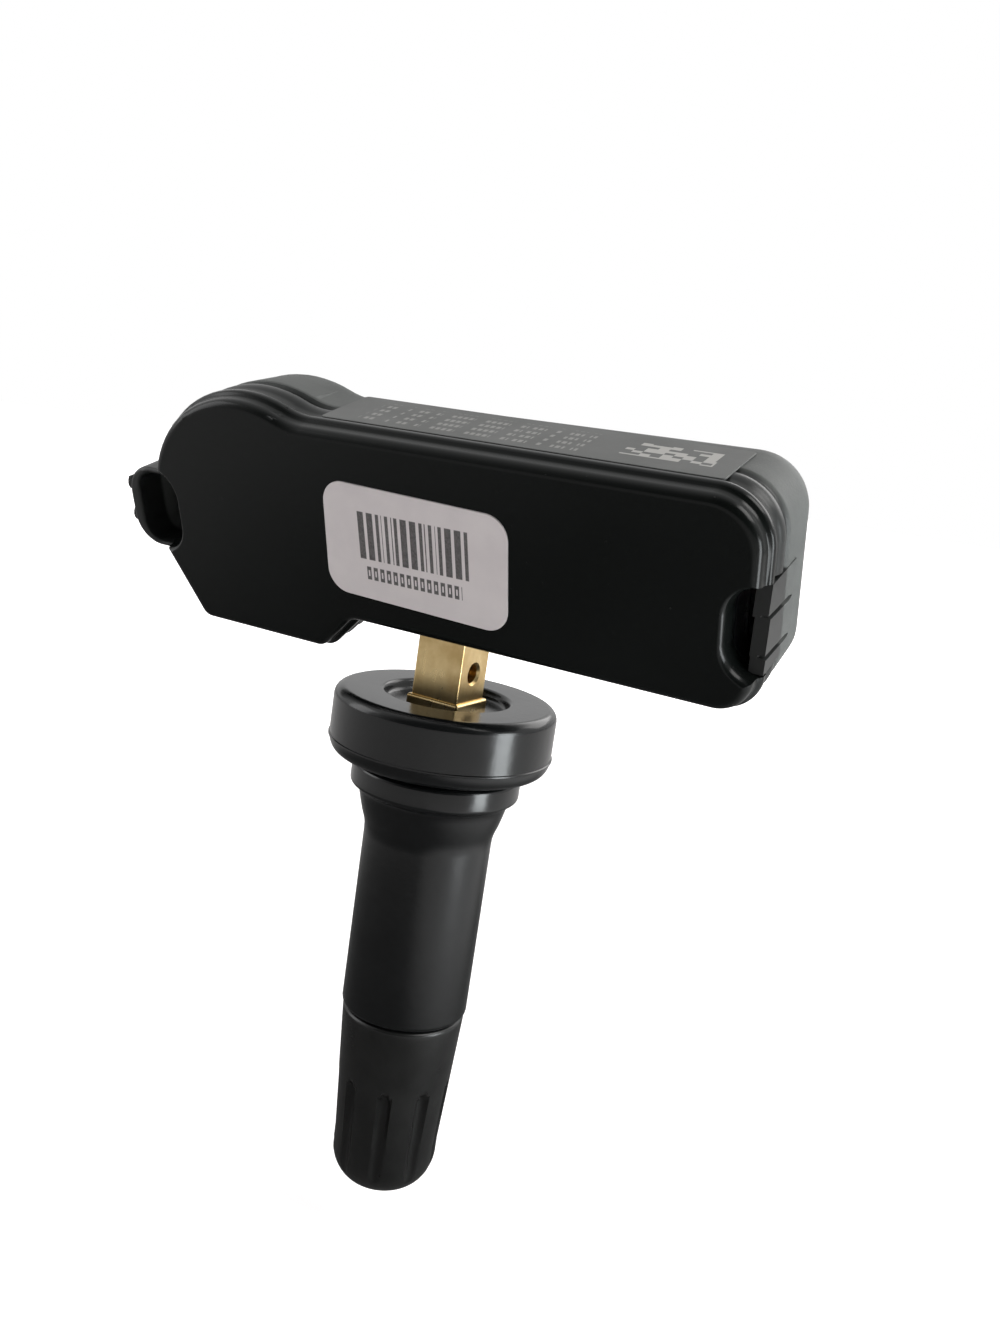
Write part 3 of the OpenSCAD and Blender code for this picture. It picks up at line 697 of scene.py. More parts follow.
@dataclass(frozen=True)
class BoardMask(Finish):
    """Green board with tracks and round pads."""

    track: float = 1.6
    pad: float = 2.5
    pad_colour: Colour = (0.75, 0.55, 0.25)

    def paint(self, shader: Shader, at: Value) -> None:
        """Lays tracks and pads on the board."""
        x, _, z = at.split()
        weave = shader.noise(at, 4, 2)
        wave = (z + (x * 0.35).maths("SINE") * 1.2) % self.track
        track = (abs(wave - self.track / 2) < 0.16) * (shader.noise(at, 0.2) > 0.48)
        across = x % self.pad - self.pad / 2
        up = z % self.pad - self.pad / 2
        pads = (across * across + up * up) < 0.16
        mask = shader.colours(track * 0.5, self.colour, self.shade)
        shader.set(
            Base_Color=shader.colours(pads, mask, self.pad_colour),
            Metallic=pads * 0.9,
            Roughness=weave * 0.1 + 0.28,
            Normal=shader.bump(track * 0.6 + pads + weave * 0.2, self.depth),
        )


@dataclass(frozen=True)
class WoundWire(Finish):
    """Fine enamelled wire, turn beside turn, with painted shade in the hollows between the turns."""

    pitch: float = 0.16

    def paint(self, shader: Shader, at: Value) -> None:
        """Lays the turns side by side."""
        x, _, _ = at.split()
        turns = (x * (math.tau / self.pitch)).maths("SINE") * 0.5 + 0.5
        patches = shader.noise(at, 1.2, 2)
        shader.set(
            # Painted shade: the shade colour darkens the hollows between the turns, where the bump is low.
            Base_Color=shader.colours(turns, self.shade, self.colour),
            Metallic=self.metallic,
            Roughness=self.rough(patches, turns),
            Coat_Weight=self.coat,
            Normal=shader.bump(turns, self.depth),
        )


@dataclass(frozen=True)
class ChipEnds(Finish):
    """Fired chip body with tinned ends."""

    ends: Colour = (0.78, 0.78, 0.76)
    low: float = 0.35
    length: float = 1.6
    bases: tuple[float, ...] = ()

    def paint(self, shader: Shader, at: Value) -> None:
        """Tins both ends of each chip."""
        _, _, z = at.split()
        grain = shader.noise(at, 7, 2)
        ends = [base + shift for base in self.bases for shift in (0.0, self.length - self.low)]
        bands = [(z > end - TOUCH) * (z < end + self.low + TOUCH) for end in ends]
        tin = sum(bands[1:], bands[0])
        shader.set(
            Base_Color=shader.colours(tin, self.colour, self.ends),
            Metallic=tin * 0.9,
            Roughness=grain * 0.2 + 0.35,
            Normal=shader.bump(grain, self.depth),
        )


SHELL = ShellPlastic(
    "shell_plastic",
    (0.1, 0.106, 0.102),
    (0.082, 0.087, 0.084),
    roughness=0.56,
    smear=0.1,
    grain=5.5,
    depth=0.03,
    specular=0.35,
    place=CASE_PLACE,
)
COVER = CoverPlastic(
    "cover_plastic",
    (0.0035, 0.0045, 0.004),
    (0.006, 0.0072, 0.0068),
    roughness=0.17,
    smear=0.04,
    depth=0.003,
    specular=0.2,
    place=CASE_PLACE,
)
STICKER = StickerFilm(
    "sticker_film",
    (0.72, 0.67, 0.67),
    (0.68, 0.63, 0.635),
    roughness=0.5,
    smear=0.1,
    depth=0.008,
    specular=0.3,
    place=CASE_PLACE,
)
TOP_FILM = TopFilm(
    "top_film",
    (0.15, 0.153, 0.15),
    (0.13, 0.133, 0.13),
    roughness=0.6,
    smear=0.1,
    depth=0.01,
    specular=0.3,
    ink=(0.5, 0.49, 0.47),
    place=CASE_PLACE,
)
RUBBER = Finish(
    "valve_rubber",
    (0.0032, 0.0038, 0.004),
    (0.0065, 0.0072, 0.0074),
    roughness=0.2,
    smear=0.1,
    grain=1.4,
    depth=0.008,
    patch=0.12,
    specular=0.45,
)
CAP_PLASTIC = Finish(
    "cap_plastic",
    (0.0075, 0.0076, 0.0074),
    (0.013, 0.0132, 0.0128),
    roughness=0.3,
    smear=0.12,
    grain=2.6,
    depth=0.005,
    patch=0.2,
    specular=0.45,
)
BRASS = BrushedMetal(
    "stem_brass",
    (0.86, 0.66, 0.34),
    (0.66, 0.46, 0.2),
    roughness=0.3,
    smear=0.22,
    grain=2.2,
    metallic=1.0,
    patch=0.35,
)
STEEL = BrushedMetal(
    "plated_steel",
    (0.62, 0.62, 0.62),
    (0.5, 0.5, 0.51),
    roughness=0.32,
    smear=0.16,
    grain=2.4,
    depth=0.01,
    metallic=1.0,
)


@dataclass
class CaseForm:
    """Outline and depths that the case's pieces share."""

    height: float = 16.5
    right: float = 27.4
    depth: float = 12.0
    top_radius: float = 4.2
    low_radius: float = 3.2
    head_radius: float = 10.8
    head_x: float = -16.4
    head_z: float = 7.0
    blend: float = 6.0
    foot_radius: float = 1.6
    foot_z: float = -3.3
    foot_left: float = -23.3
    foot_right: float = -10.0
    chamfer_z: float = 3.35
    wall: float = 1.4
    pocket_z: float = 6.6
    pocket_height: float = 6.9
    pocket_radius: float = 2.3
    pocket_right: float = 24.9
    pocket_left: float = -24.4
    pocket_wall: float = 0.9
    pocket_depth: float = 9.4
    left_tab_y: float = 2.3
    blend_start: float = -3.0
    blend_width: float = 8.0

    def corners(self) -> list[Corner]:
        """The case's corners, anticlockwise from the arm's lower right."""
        reach = self.head_radius + self.blend
        top = math.acos(math.sqrt(reach**2 - (self.height + self.blend - self.head_z) ** 2) / reach)
        joint = self.head_x + (self.head_radius - math.sin(top) * (self.height - self.head_z)) / math.cos(top)
        middle = (top + math.pi) / 2
        stretch = self.head_radius / math.cos((math.pi - top) / 4)
        head = [
            Corner(self.head_x + stretch * math.cos(a), self.head_z + stretch * math.sin(a), self.head_radius)
            for a in ((top + middle) / 2, (middle + math.pi) / 2)
        ]
        return [
            Corner(self.right, 0, self.low_radius),
            Corner(self.right, self.height, self.top_radius),
            Corner(joint, self.height, self.blend),
            *head,
            Corner(self.head_x - self.head_radius, self.chamfer_z, self.foot_radius),
            Corner(self.foot_left, self.foot_z, self.foot_radius),
            Corner(self.foot_right, self.foot_z, self.foot_radius),
            Corner(self.foot_right - self.foot_z, 0, self.foot_radius),
        ]

    def ring(self, depth: float, inset: float, head_inset: Optional[float] = None) -> list[Vector]:
        """A ring round the case.

        Args:
            depth: Its depth behind the face.
            inset: How far it is moved inwards.
            head_inset: The inset at the head, where that differs.

        Returns:
            The ring's points.
        """
        arm = rounded(self.corners(), inset)
        head = rounded(self.corners(), inset if head_inset is None else head_inset)
        ring: list[Vector] = []
        for (ax, az), (hx, hz) in zip(arm, head):
            share = min(1.0, max(0.0, (self.blend_start - ax) / self.blend_width))
            share = share * share * (3 - 2 * share)
            ring.append(Vector((ax + (hx - ax) * share, depth, az + (hz - az) * share)))
        return ring

    def skin(self, name: str, rings: Sequence[Sequence[float]]) -> Workpiece:
        """A solid over rings of depth, inset and, where it differs, inset at the head."""
        return Workpiece(name).loft([self.ring(*ring) for ring in rings])

    def pocket(self, end: int, grow: float) -> list[Point]:
        """Outline of a grip pocket.

        Args:
            end: 1 for the right end, -1 for the left one.
            grow: How far it is moved outwards.

        Returns:
            Its points, anticlockwise.
        """
        inner = self.pocket_right if end > 0 else self.pocket_left
        low = self.pocket_z - self.pocket_height / 2
        high = low + self.pocket_height
        outer = inner + end * 8
        corners = [
            Corner(inner, low, self.pocket_radius),
            Corner(outer, low, 0.2),
            Corner(outer, high, 0.2),
            Corner(inner, high, self.pocket_radius),
        ]
        if end < 0:
            corners = corners[::-1]
        return rounded(corners, -grow)

    def pocket_cutter(self, end: int, rings: Sequence[Point]) -> Workpiece:
        """A cutter for a pocket, over rings of depth and growth."""
        loops = [[Vector((x, depth, z)) for x, z in self.pocket(end, grow)] for depth, grow in rings]
        return Workpiece("cutter").loft(loops)


@dataclass
class Cover:
    """Front cover: a polished face with a rounded edge, a proud lip and a rim inside."""

    form: CaseForm
    face: float = 1.2
    depth: float = 2.2
    lip_back: float = 3.2
    lip_inset: float = 1.5
    rim: float = 2.2
    edge: float = 0.75
    edge_inset: float = 0.4

    def edge_rings(self) -> list[tuple[float, ...]]:
        """Rings of the face's rounding, the ledge and the proud lip."""
        rounding = [
            (self.edge * (1 - math.cos(a)), self.edge_inset + self.edge * (1 - math.sin(a)))
            for a in quarter_turn(6)
        ]
        return [
            *rounding,
            (1.15, 0.37),
            (1.3, 0.3),
            (1.42, 0.14),
            (1.58, 0.03),
            (1.75, 0.0),
            (2.0, 0.0),
            (2.12, 0.04),
            (self.depth, 0.12),
        ]

    def build(self) -> None:
        """Makes the cover with its notches and its rim."""
        form = self.form
        cover = Solid(form.skin("cover_shell", self.edge_rings()))
        hollow = Solid(form.skin("hollow", [(self.face, self.rim), (self.depth + 1, self.rim)]))
        lip = Solid(form.skin("lip", [(self.face + 0.5, self.lip_inset), (self.lip_back, self.lip_inset)]))
        for end in (1, -1):
            hollow.cut(form.pocket_cutter(end, [(0, form.pocket_wall), (9, form.pocket_wall)]))
            wide = form.pocket_wall + 0.1
            lip.cut(form.pocket_cutter(end, [(0, wide), (9, wide)]))
        cover.add(lip)
        cover.cut(hollow)
        cover.cut(form.skin("back", [(self.depth, self.rim), (self.depth + 2, self.rim)]))
        flare = [(-0.4, 0.85), (0.0, 0.5), (0.12, 0.3), (0.35, 0.16), (0.7, 0.07)]
        flare += [(1.3, 0.02), (1.9, 0.0), (4, 0.0)]
        for end in (1, -1):
            cover.cut(form.pocket_cutter(end, flare))
        settle(cover, Placing(Body.SENSOR, "cover", ("cover",), CASE_PLACE), COVER, 0.06)


@dataclass
class Housing:
    """Rear shell: a glossy front band, a matte body, grip tabs at both ends and a holder for the post."""

    form: CaseForm
    front: float = 2.25
    rim_back: float = 4.4
    back_radius: float = 2.6
    head_back_radius: float = 3.2
    taper: float = 0.2
    head_taper: float = 0.55
    cavity_back: float = 10.8
    cradle_y: float = 8.55
    cavity_inset: float = 2.08
    pegs: tuple[Point, ...] = ((20.9, 12.3), (-6.6, 13.1))
    peg_radius: float = 1.4
    port: Point = (11, 9)
    tab_left: float = -32.2
    tab_corner: float = 0.4
    rib_heights: Point = (7.25, 4.3)
    plate_sides: Point = (26.25, 27.34)
    plate_front: float = 1.6
    plate_back: float = 7.05
    plate_slope: float = 0.2
    plate_heights: tuple[Point, ...] = ((9.85, 7.5), (7.55, 4.5), (4.55, 3.2))
    slot_heights: Point = (7.55, 4.55)

    def outer_rings(self) -> list[tuple[float, ...]]:
        """Rings of the band, its groove, the side and the rounded back."""
        rings: list[tuple[float, ...]] = [
            (self.front, 0.3),
            (self.front + 0.15, 0.28),
            (2.95, 0.3),
            (3.2, 0.2),
            (3.4, 0.1),
            (3.7, 0.06),
            (4.05, 0.08),
            (4.3, 0.2),
            (4.5, 0.32, 0.5),
            (4.75, 0.36, 0.55),
            (4.95, 0.3, 0.42),
            (5.1, 0.17, 0.2),
            (5.3, 0.12, 0.12),
        ]
        for a in quarter_turn(9):
            depth = self.form.depth - self.head_back_radius * (1 - math.sin(a))
            arm = self.taper + self.back_radius * (1 - math.cos(a))
            head = self.head_taper + self.head_back_radius * (1 - math.cos(a))
            rings.append((depth, arm, head))
        return rings

    def build(self) -> None:
        """Makes the shell, its hollow, pockets, tabs and holder."""
        form = self.form
        shell = Solid(form.skin("rear_housing", self.outer_rings()))
        shell.add(self.left_tab())
        shell.cut(self.cavity())
        shell.cut(form.pocket_cutter(1, [(0, 0), (self.rim_back, 0)]))
        shell.cut(form.pocket_cutter(-1, [(0, 0), (form.left_tab_y, 0)]))
        shell.cut(self.right_well())
        shell.cut(self.left_well())
        self.shape_grips(shell)
        self.cut_holder(shell)
        settle(shell, Placing(Body.SENSOR, "housing", ("housing",), CASE_PLACE), SHELL, 0.09)

    def cavity(self) -> Solid:
        """The shell's hollow, with the post's holder, pegs and pocket walls left standing."""
        form = self.form
        hollow = Solid(form.skin("cavity", [(1.2, form.wall), (self.cradle_y, form.wall)]))
        deep = [(self.cradle_y - 1, self.cavity_inset), (self.cavity_back, self.cavity_inset)]
        hollow.add(form.skin("deep", deep))
        for end in (1, -1):
            hollow.cut(form.pocket_cutter(end, [(-2, form.pocket_wall), (13, form.pocket_wall)]))
        hollow.cut(Workpiece("holder").bar((-3.9, 3.5, -5), (3.9, 14, 8.8)))
        for x, z in self.pegs:
            hollow.cut(Workpiece("peg").rod((x, 6, z), (x, 13, z), self.peg_radius))
        return hollow

    def right_well(self) -> Solid:
        """The deep part of the right pocket, behind its tab."""
        well = Solid(self.form.pocket_cutter(1, [(self.rim_back - 1, 0), (self.form.pocket_depth, 0)]))
        tab = self.form.right - 1.2
        return well.combine(Workpiece("keep").bar((20, 0, -2), (tab, 12, 16)), Joining.KEEP)

    def tab_corners(self, across: Point, up: Point, radius: float) -> list[Corner]:
        """Corners of the left tab's outline.

        Args:
            across: Its left and right sides.
            up: Its lower and upper sides.
            radius: Radius of the two left corners.

        Returns:
            The corners, anticlockwise.
        """
        left, right = across
        low, high = up
        return [
            Corner(left, low, radius),
            Corner(right, low, self.tab_corner),
            Corner(right, high, self.tab_corner),
            Corner(left, high, radius),
        ]

    def left_tab(self) -> Workpiece:
        """The loop that carries the left tab."""
        front = self.form.left_tab_y
        rings = [(front, 0.35), (front + 0.06, 0.17), (front + 0.18, 0.05), (front + 0.35, 0.0)]
        rings += [(9.9, 0.0), (10.12, 0.1), (10.2, 0.35)]
        return slab("left_tab", self.tab_corners((self.tab_left, -24.0), (1.9, 9.3), 2.7), rings)

    def left_well(self) -> Solid:
        """The hollow of the left tab's loop and the pocket that it opens into."""
        front, back = self.form.left_tab_y, self.form.pocket_depth
        rings = [(1.5, -0.36), (front, -0.34), (front + 0.1, -0.14), (front + 0.35, 0.0), (back, 0.0)]
        well = Solid(slab("well", self.tab_corners((-30.9, -25.7), (2.45, 8.75), 1.7), rings))
        pocket = Solid(self.form.pocket_cutter(-1, [(2, 0), (back - TOUCH, 0)]))
        keep = Workpiece("keep").bar((-26.5, 0, -2), (-20, 12, 16))
        return well.add(pocket.combine(keep, Joining.KEEP))

    def bar_along(
        self, section: Sequence[Point], x: float, z: float, y0: float, y1: float, way: int, climb: float = 0.0
    ) -> Workpiece:
        """A bar of some section that runs along the depth.

        Args:
            section: Its points, outwards and up.
            x: The face that it stands on.
            z: Its height at the front end.
            y0: Its front end.
            y1: Its back end, where it thins out.
            way: 1 where outwards is to the right, -1 to the left.
            climb: How far it rises over a millimetre of depth.

        Returns:
            The bar.
        """
        rings = []
        for y, share in ((y0, 1.0), (y1 - 0.7, 1.0), (y1, 0.35)):
            rise = z + climb * (y - y0)
            rings.append([Vector((x + way * out, y, rise + up * share)) for out, up in section])
        return Workpiece("bar").loft(rings)

    def shape_grips(self, shell: Solid) -> None:
        """Stands rounded ribs on the left tab and slotted plates, which reach forward, on the right one."""
        rib = [(-0.5, 0.95), (0.02, 0.8), (0.2, 0.42), (0.27, 0.12)]
        rib += [(0.24, -0.14), (0.1, -0.34), (-0.5, -0.42)]
        for z in self.rib_heights:
            shell.add(self.bar_along(rib, self.tab_left, z, 2.5, 9.4, -1))
        left, right = self.plate_sides
        for high, low in self.plate_heights:
            plate = []
            for z in (low, high):
                front = self.plate_front + self.plate_slope * (z - low)
                ends = ((left, front), (right, front), (right, self.plate_back), (left, self.plate_back))
                plate.append([Vector((x, y, z)) for x, y in ends])
            shell.add(Workpiece("plate").loft(plate))
        slot = [(0.5, 0.22), (-0.5, 0.14), (-0.5, -0.12), (0.5, -0.34)]
        for z in self.slot_heights:
            shell.cut(self.bar_along(slot, 27.3, z, 1.0, 6.6, 1, -0.06))

    def cut_holder(self, shell: Solid) -> None:
        """Cuts the post's socket, the screw's seat and the pressure port."""
        back = CASE_PLACE.inverted() @ VALVE_PLACE
        post = Workpiece("post").bar((-2.25, -2.25, 5.6), (2.25, 2.25, 20.2))
        bore = Workpiece("bore").rod((0, -1, SCREW_HEIGHT), (0, 20, SCREW_HEIGHT), 1.3)
        seat = Workpiece("seat").rod((0, 3.4, SCREW_HEIGHT), (0, 20, SCREW_HEIGHT), 2.4)
        for tool in (post, bore, seat):
            bmesh.ops.transform(tool.bm, matrix=back, verts=tool.bm.verts)
            shell.cut(tool)
        x, z = self.port
        for front, radius in ((9.8, 0.8), (11.7, 1.8)):
            shell.cut(Workpiece("port").rod((x, front, z), (x, 14, z), radius))


@dataclass
class Labels:
    """The white sticker on the cover and the grey film on the case's top."""

    form: CaseForm
    sticker_length: float = 16.5
    sticker_height: float = 9.4
    film_length: float = 32.9
    film_width: float = 6.2
    film_front: float = 2.25
    sticker_corner: float = 1.9
    film_corner: float = 0.35
    thickness: float = 0.12

    def build(self) -> None:
        """Makes both labels."""
        self.build_sticker()
        self.build_film()

    def build_sticker(self) -> None:
        """Lays the sticker on the cover's face."""
        half_l, half_h = self.sticker_length / 2, self.sticker_height / 2
        spots = ((half_l, -half_h), (half_l, half_h), (-half_l, half_h), (-half_l, -half_h))
        corners = [Corner(x, z, self.sticker_corner) for x, z in spots]
        turn = Matrix.Translation((0.1, 0, 7.55)) @ Matrix.Rotation(math.radians(1.8), 4, "Y")
        rings = [(0.0, 0.0), (-0.07, 0.0), (-0.105, 0.02), (-self.thickness, 0.06)]
        loops = [[turn @ Vector((x, y, z)) for x, z in rounded(corners, g)] for y, g in rings]
        work = Workpiece("sticker").loft(loops)
        settle(work, Placing(Body.SENSOR, "front_label", ("front_label",), CASE_PLACE), STICKER)

    def build_film(self) -> None:
        """Bends the grey film over the case's top."""
        right = self.form.right - 3.9
        left = right - self.film_length
        front, back = self.film_front, self.film_front + self.film_width
        spots = ((right, front), (right, back), (left, back), (left, front))
        corners = [Corner(x, y, self.film_corner) for x, y in spots]
        low = self.form.height - 0.1
        rings = [(low, 0.0), (low + 0.08, 0.0), (low + 0.11, 0.02), (low + self.thickness, 0.05)]
        loops = [[Vector((x, y, z)) for x, y in rounded(corners, g, 15)] for z, g in rings]
        work = Workpiece("top_film").loft(loops)
        for axis, start, end, count in ((1, front, back, 8), (0, left, right, 12)):
            for k in range(1, count):
                at = [0.0, 0.0, 0.0]
                normal = [0.0, 0.0, 0.0]
                at[axis] = start + (end - start) * k / count
                normal[axis] = 1.0
                geom = [*work.bm.verts, *work.bm.edges, *work.bm.faces]
                bmesh.ops.bisect_plane(work.bm, geom=geom, plane_co=at, plane_no=normal)

        def bend(point: Vector) -> Vector:
            """Lets the film fall with the case's taper."""
            fall = 0.1 * max(0.0, point.y - 4.4) / 5
            return Vector((point.x, point.y, point.z - fall))

        work.shape(bend)
        settle(work, Placing(Body.SENSOR, "top_label", ("top_label",), CASE_PLACE), TOP_FILM)


@dataclass
class ValveBody:
    """Moulded rubber valve: flange with a recess, rim groove, barb ring and barrel."""

    flange_radius: float = 9.4
    flange_top: float = 5.6
    shoulder: float = 0.9
    parting: float = 1.4
    recess_floor: float = 4.7
    seat: float = 2.5
    seat_floor: float = 3.05
    groove: float = 5.9
    ring: float = 7.2
    barrel: float = 5.5
    end: float = -22.6

    def profile(self) -> list[Point]:
        """Outer profile from the recess to the barrel's end, then back up the bore."""
        edge = self.shoulder
        flange = [
            (0.0, self.recess_floor),
            (4.7, self.recess_floor),
            *arc(4.8, 5.1, 0.4, 0.4, -90, -5, 4),
            (5.25, 5.25),
            (5.3, 5.4),
            (5.4, 5.54),
            (5.6, self.flange_top),
            *arc(self.flange_radius - edge, self.flange_top - edge, edge, edge, 90, 3, 10),
            (9.41, self.parting + 0.12),
            (9.5, self.parting + 0.06),
            (9.5, self.parting - 0.06),
            (9.4, self.parting - 0.12),
            *arc(8.3, self.parting, 1.1, 1.38, -8, -84, 10),
            (8.2, 0.0),
            (7.9, 0.03),
        ]
        dish = [(7.6, 0.2), (7.0, 0.6), (6.5, 1.05), (6.2, 1.25), (6.0, 1.2), (self.groove, 1.0)]
        waist = [(self.groove, -0.1), (5.93, -0.3), (6.05, -0.44), (6.25, -0.5)]
        ring = [
            (6.75, -0.5),
            *arc(6.8, -0.9, 0.4, 0.4, 88, 0, 5),
            (self.ring, -2.2),
            *arc(6.85, -2.25, 0.35, 0.35, 0, -60, 4),
            (6.75, -2.75),
            (6.5, -2.92),
            (6.38, -3.15),
            (6.28, -3.6),
        ]
        taper = [(6.1, -4.3), (5.9, -5.0), (5.72, -5.5), (5.6, -5.9), (5.53, -6.3), (self.barrel, -6.9)]
        barrel = [
            (self.barrel, -14.0),
            (self.barrel, -21.5),
            (self.barrel, -22.15),
            *arc(5.15, -22.25, 0.35, 0.35, 0, -90, 4),
            (3.86, self.end),
        ]
        bore = [(3.86, -20.7), (3.3, -20.65), (3.3, self.seat_floor), (0.0, self.seat_floor)]
        return [*flange, *dish, *waist, *ring, *taper, *barrel, *bore]

    def build(self) -> None:
        """Turns the rubber and cuts the stem's square seat."""
        rubber = Solid(Workpiece("rubber_body").lathe(self.profile(), 144))
        low, high = (-self.seat, -self.seat, self.seat_floor - 0.1), (self.seat, self.seat, 9)
        rubber.cut(Workpiece("seat").bar(low, high))
        settle(rubber, Placing(Body.SENSOR, "rubber_valve", ("rubber_valve",)), RUBBER, smooth_angle=38)


@dataclass
class Stem:
    """Brass stem: square post with a cross hole, stepped foot, barbed tube and threaded end."""

    post: float = 4.4
    post_top: float = 20.15
    foot: float = 5.0
    foot_top: float = 5.5
    foot_floor: float = 3.1
    tube_top: float = 3.7
    hole_height: float = 7.85
    pitch: float = 0.794
    crest: float = 3.85
    root: float = 3.42
    thread_top: float = -22.75
    end: float = -34.6
    tube: float = 3.3
    barb: float = 3.88
    barb_heights: tuple[float, ...] = (-2, -8, -14)

    def tube_profile(self) -> list[Point]:
        """Profile of the barbed tube and the thread, then back up its bore."""
        length = self.thread_top - self.end - 0.5
        rows = int(length / (self.pitch / 8))
        step = length / rows
        thread = [(self.crest, self.thread_top - step * k) for k in range(rows + 1)]
        barbs: list[Point] = []
        for z in self.barb_heights:
            barbs += [(self.tube, z + 1.6), (self.barb, z), (self.tube, z - 0.05)]
        tube = [(self.tube, self.tube_top), *barbs, (self.tube, -20.6), (self.root, -20.7)]
        bore = [(2.6, self.end), (2.6, -28.6), (2.1, -27.8), (2.1, -18.1), (0.9, -18.0)]
        return [*tube, *thread, (3.2, self.end), *bore, (0.9, self.tube_top)]

    def cut_thread(self, point: Vector) -> Vector:
        """Draws a point of the threaded end in to the thread's form."""
        radius = math.hypot(point.x, point.y)
        if radius < 3.6 or not self.end - TOUCH < point.z < self.thread_top + TOUCH:
            return point
        turn = math.atan2(point.y, point.x) / math.tau
        phase = (point.z / self.pitch - turn) % 1.0
        tooth = min(1.0, max(0.0, 2.6 * abs(phase - 0.5) - 0.15))
        run_out = min(1.0, max(0.0, (self.thread_top - point.z) / 0.8))
        chamfer = min(1.0, max(0.25, (point.z - self.end) / 0.6))
        wanted = self.root + (self.crest - self.root) * tooth * min(run_out, chamfer)
        return Vector((point.x * wanted / radius, point.y * wanted / radius, point.z))

    def build(self) -> None:
        """Makes the stem."""
        stem = Solid(Workpiece("brass_body").lathe(self.tube_profile(), 72).shape(self.cut_thread))
        half, foot = self.post / 2, self.foot / 2
        upper = Solid(Workpiece("post").bar((-half, -half, 3.2), (half, half, self.post_top), 0.16))
        upper.add(Workpiece("foot").bar((-foot, -foot, self.foot_floor), (foot, foot, self.foot_top), 0.22))
        upper.cut(Workpiece("air").rod((0, 0, 2), (0, 0, self.hole_height), 0.9))
        upper.cut(Workpiece("cross").rod((-9, 0, self.hole_height), (9, 0, self.hole_height), 0.8))
        for end in (1, -1):
            sink = ((end * 1.95, 0, self.hole_height), (end * 2.45, 0, self.hole_height))
            upper.cut(Workpiece("sink").rod(*sink, 0.75, 1.25))
        upper.cut(Workpiece("screw_hole").rod((0, -1.2, SCREW_HEIGHT), (0, 9, SCREW_HEIGHT), 1.25))
        stem.add(upper)
        settle(stem, Placing(Body.SENSOR, "brass_stem", ("brass_stem",)), BRASS, 0.03)


@dataclass
class DustCap:
    """Fluted dust cap with a bore for the thread and the washer."""

    top: float = -22.75
    open_radius: float = 5.35
    tip_radius: float = 4.65
    tip: float = -39.55
    dome: float = 4.4
    washer_seat: float = -35.5
    bore_end: float = -37.85
    bore_radius: float = 3.9
    flutes: int = 9
    flute_radius: float = 0.62
    flute_centre: float = 4.97
    flute_top: float = -29.05

    def profile(self) -> list[Point]:
        """Profile from the bore over the mouth and down to the tip."""
        rows = 34
        start = self.top - 0.35
        fall = start - self.tip - self.dome
        narrowing = self.open_radius - self.tip_radius
        side = [(self.open_radius - narrowing * k / rows, start - fall * k / rows) for k in range(rows + 1)]
        return [
            (0.0, self.bore_end),
            (2.55, self.bore_end),
            (2.7, self.bore_end + 0.15),
            (2.7, self.washer_seat),
            (self.bore_radius, self.washer_seat),
            (self.bore_radius, self.top - 0.5),
            (4.2, self.top - 0.12),
            (4.35, self.top),
            *arc(self.open_radius - 0.35, start, 0.35, 0.35, 90, 12, 4),
            *side,
            *arc(self.tip_radius - 2.6, self.tip + 3.2, 2.6, 3.2, -3, -90, 20),
            (0.0, self.tip),
        ]

    def cut_flute(self, point: Vector) -> Vector:
        """Draws a point in where a flute passes."""
        radius = math.hypot(point.x, point.y)
        if radius < 3.0 or point.z > self.flute_top or point.z < self.tip + 0.3:
            return point
        if radius < self.bore_radius + TOUCH and point.z > self.bore_end - 0.1:
            return point
        angle = math.degrees(math.atan2(point.y, point.x))
        pitch = 360 / self.flutes
        off = (angle - 0.35 * pitch + pitch / 2) % pitch - pitch / 2
        across = self.flute_centre * math.sin(math.radians(off))
        rise = min(1.0, max(0.0, (self.flute_top - point.z) / 0.55))
        reach = self.flute_radius * math.sqrt(rise * (2 - rise))
        if abs(across) >= reach:
            return point
        wanted = self.flute_centre * math.cos(math.radians(off)) - math.sqrt(reach**2 - across**2)
        if wanted >= radius:
            return point
        return Vector((point.x * wanted / radius, point.y * wanted / radius, point.z))

    def build(self) -> None:
        """Turns the cap and draws its flutes in."""
        work = Workpiece("dust_cap").lathe(self.profile(), 216).shape(self.cut_flute)
        settle(work, Placing(Body.CAP, "cap", ("cap",)), CAP_PLASTIC, smooth_angle=42)


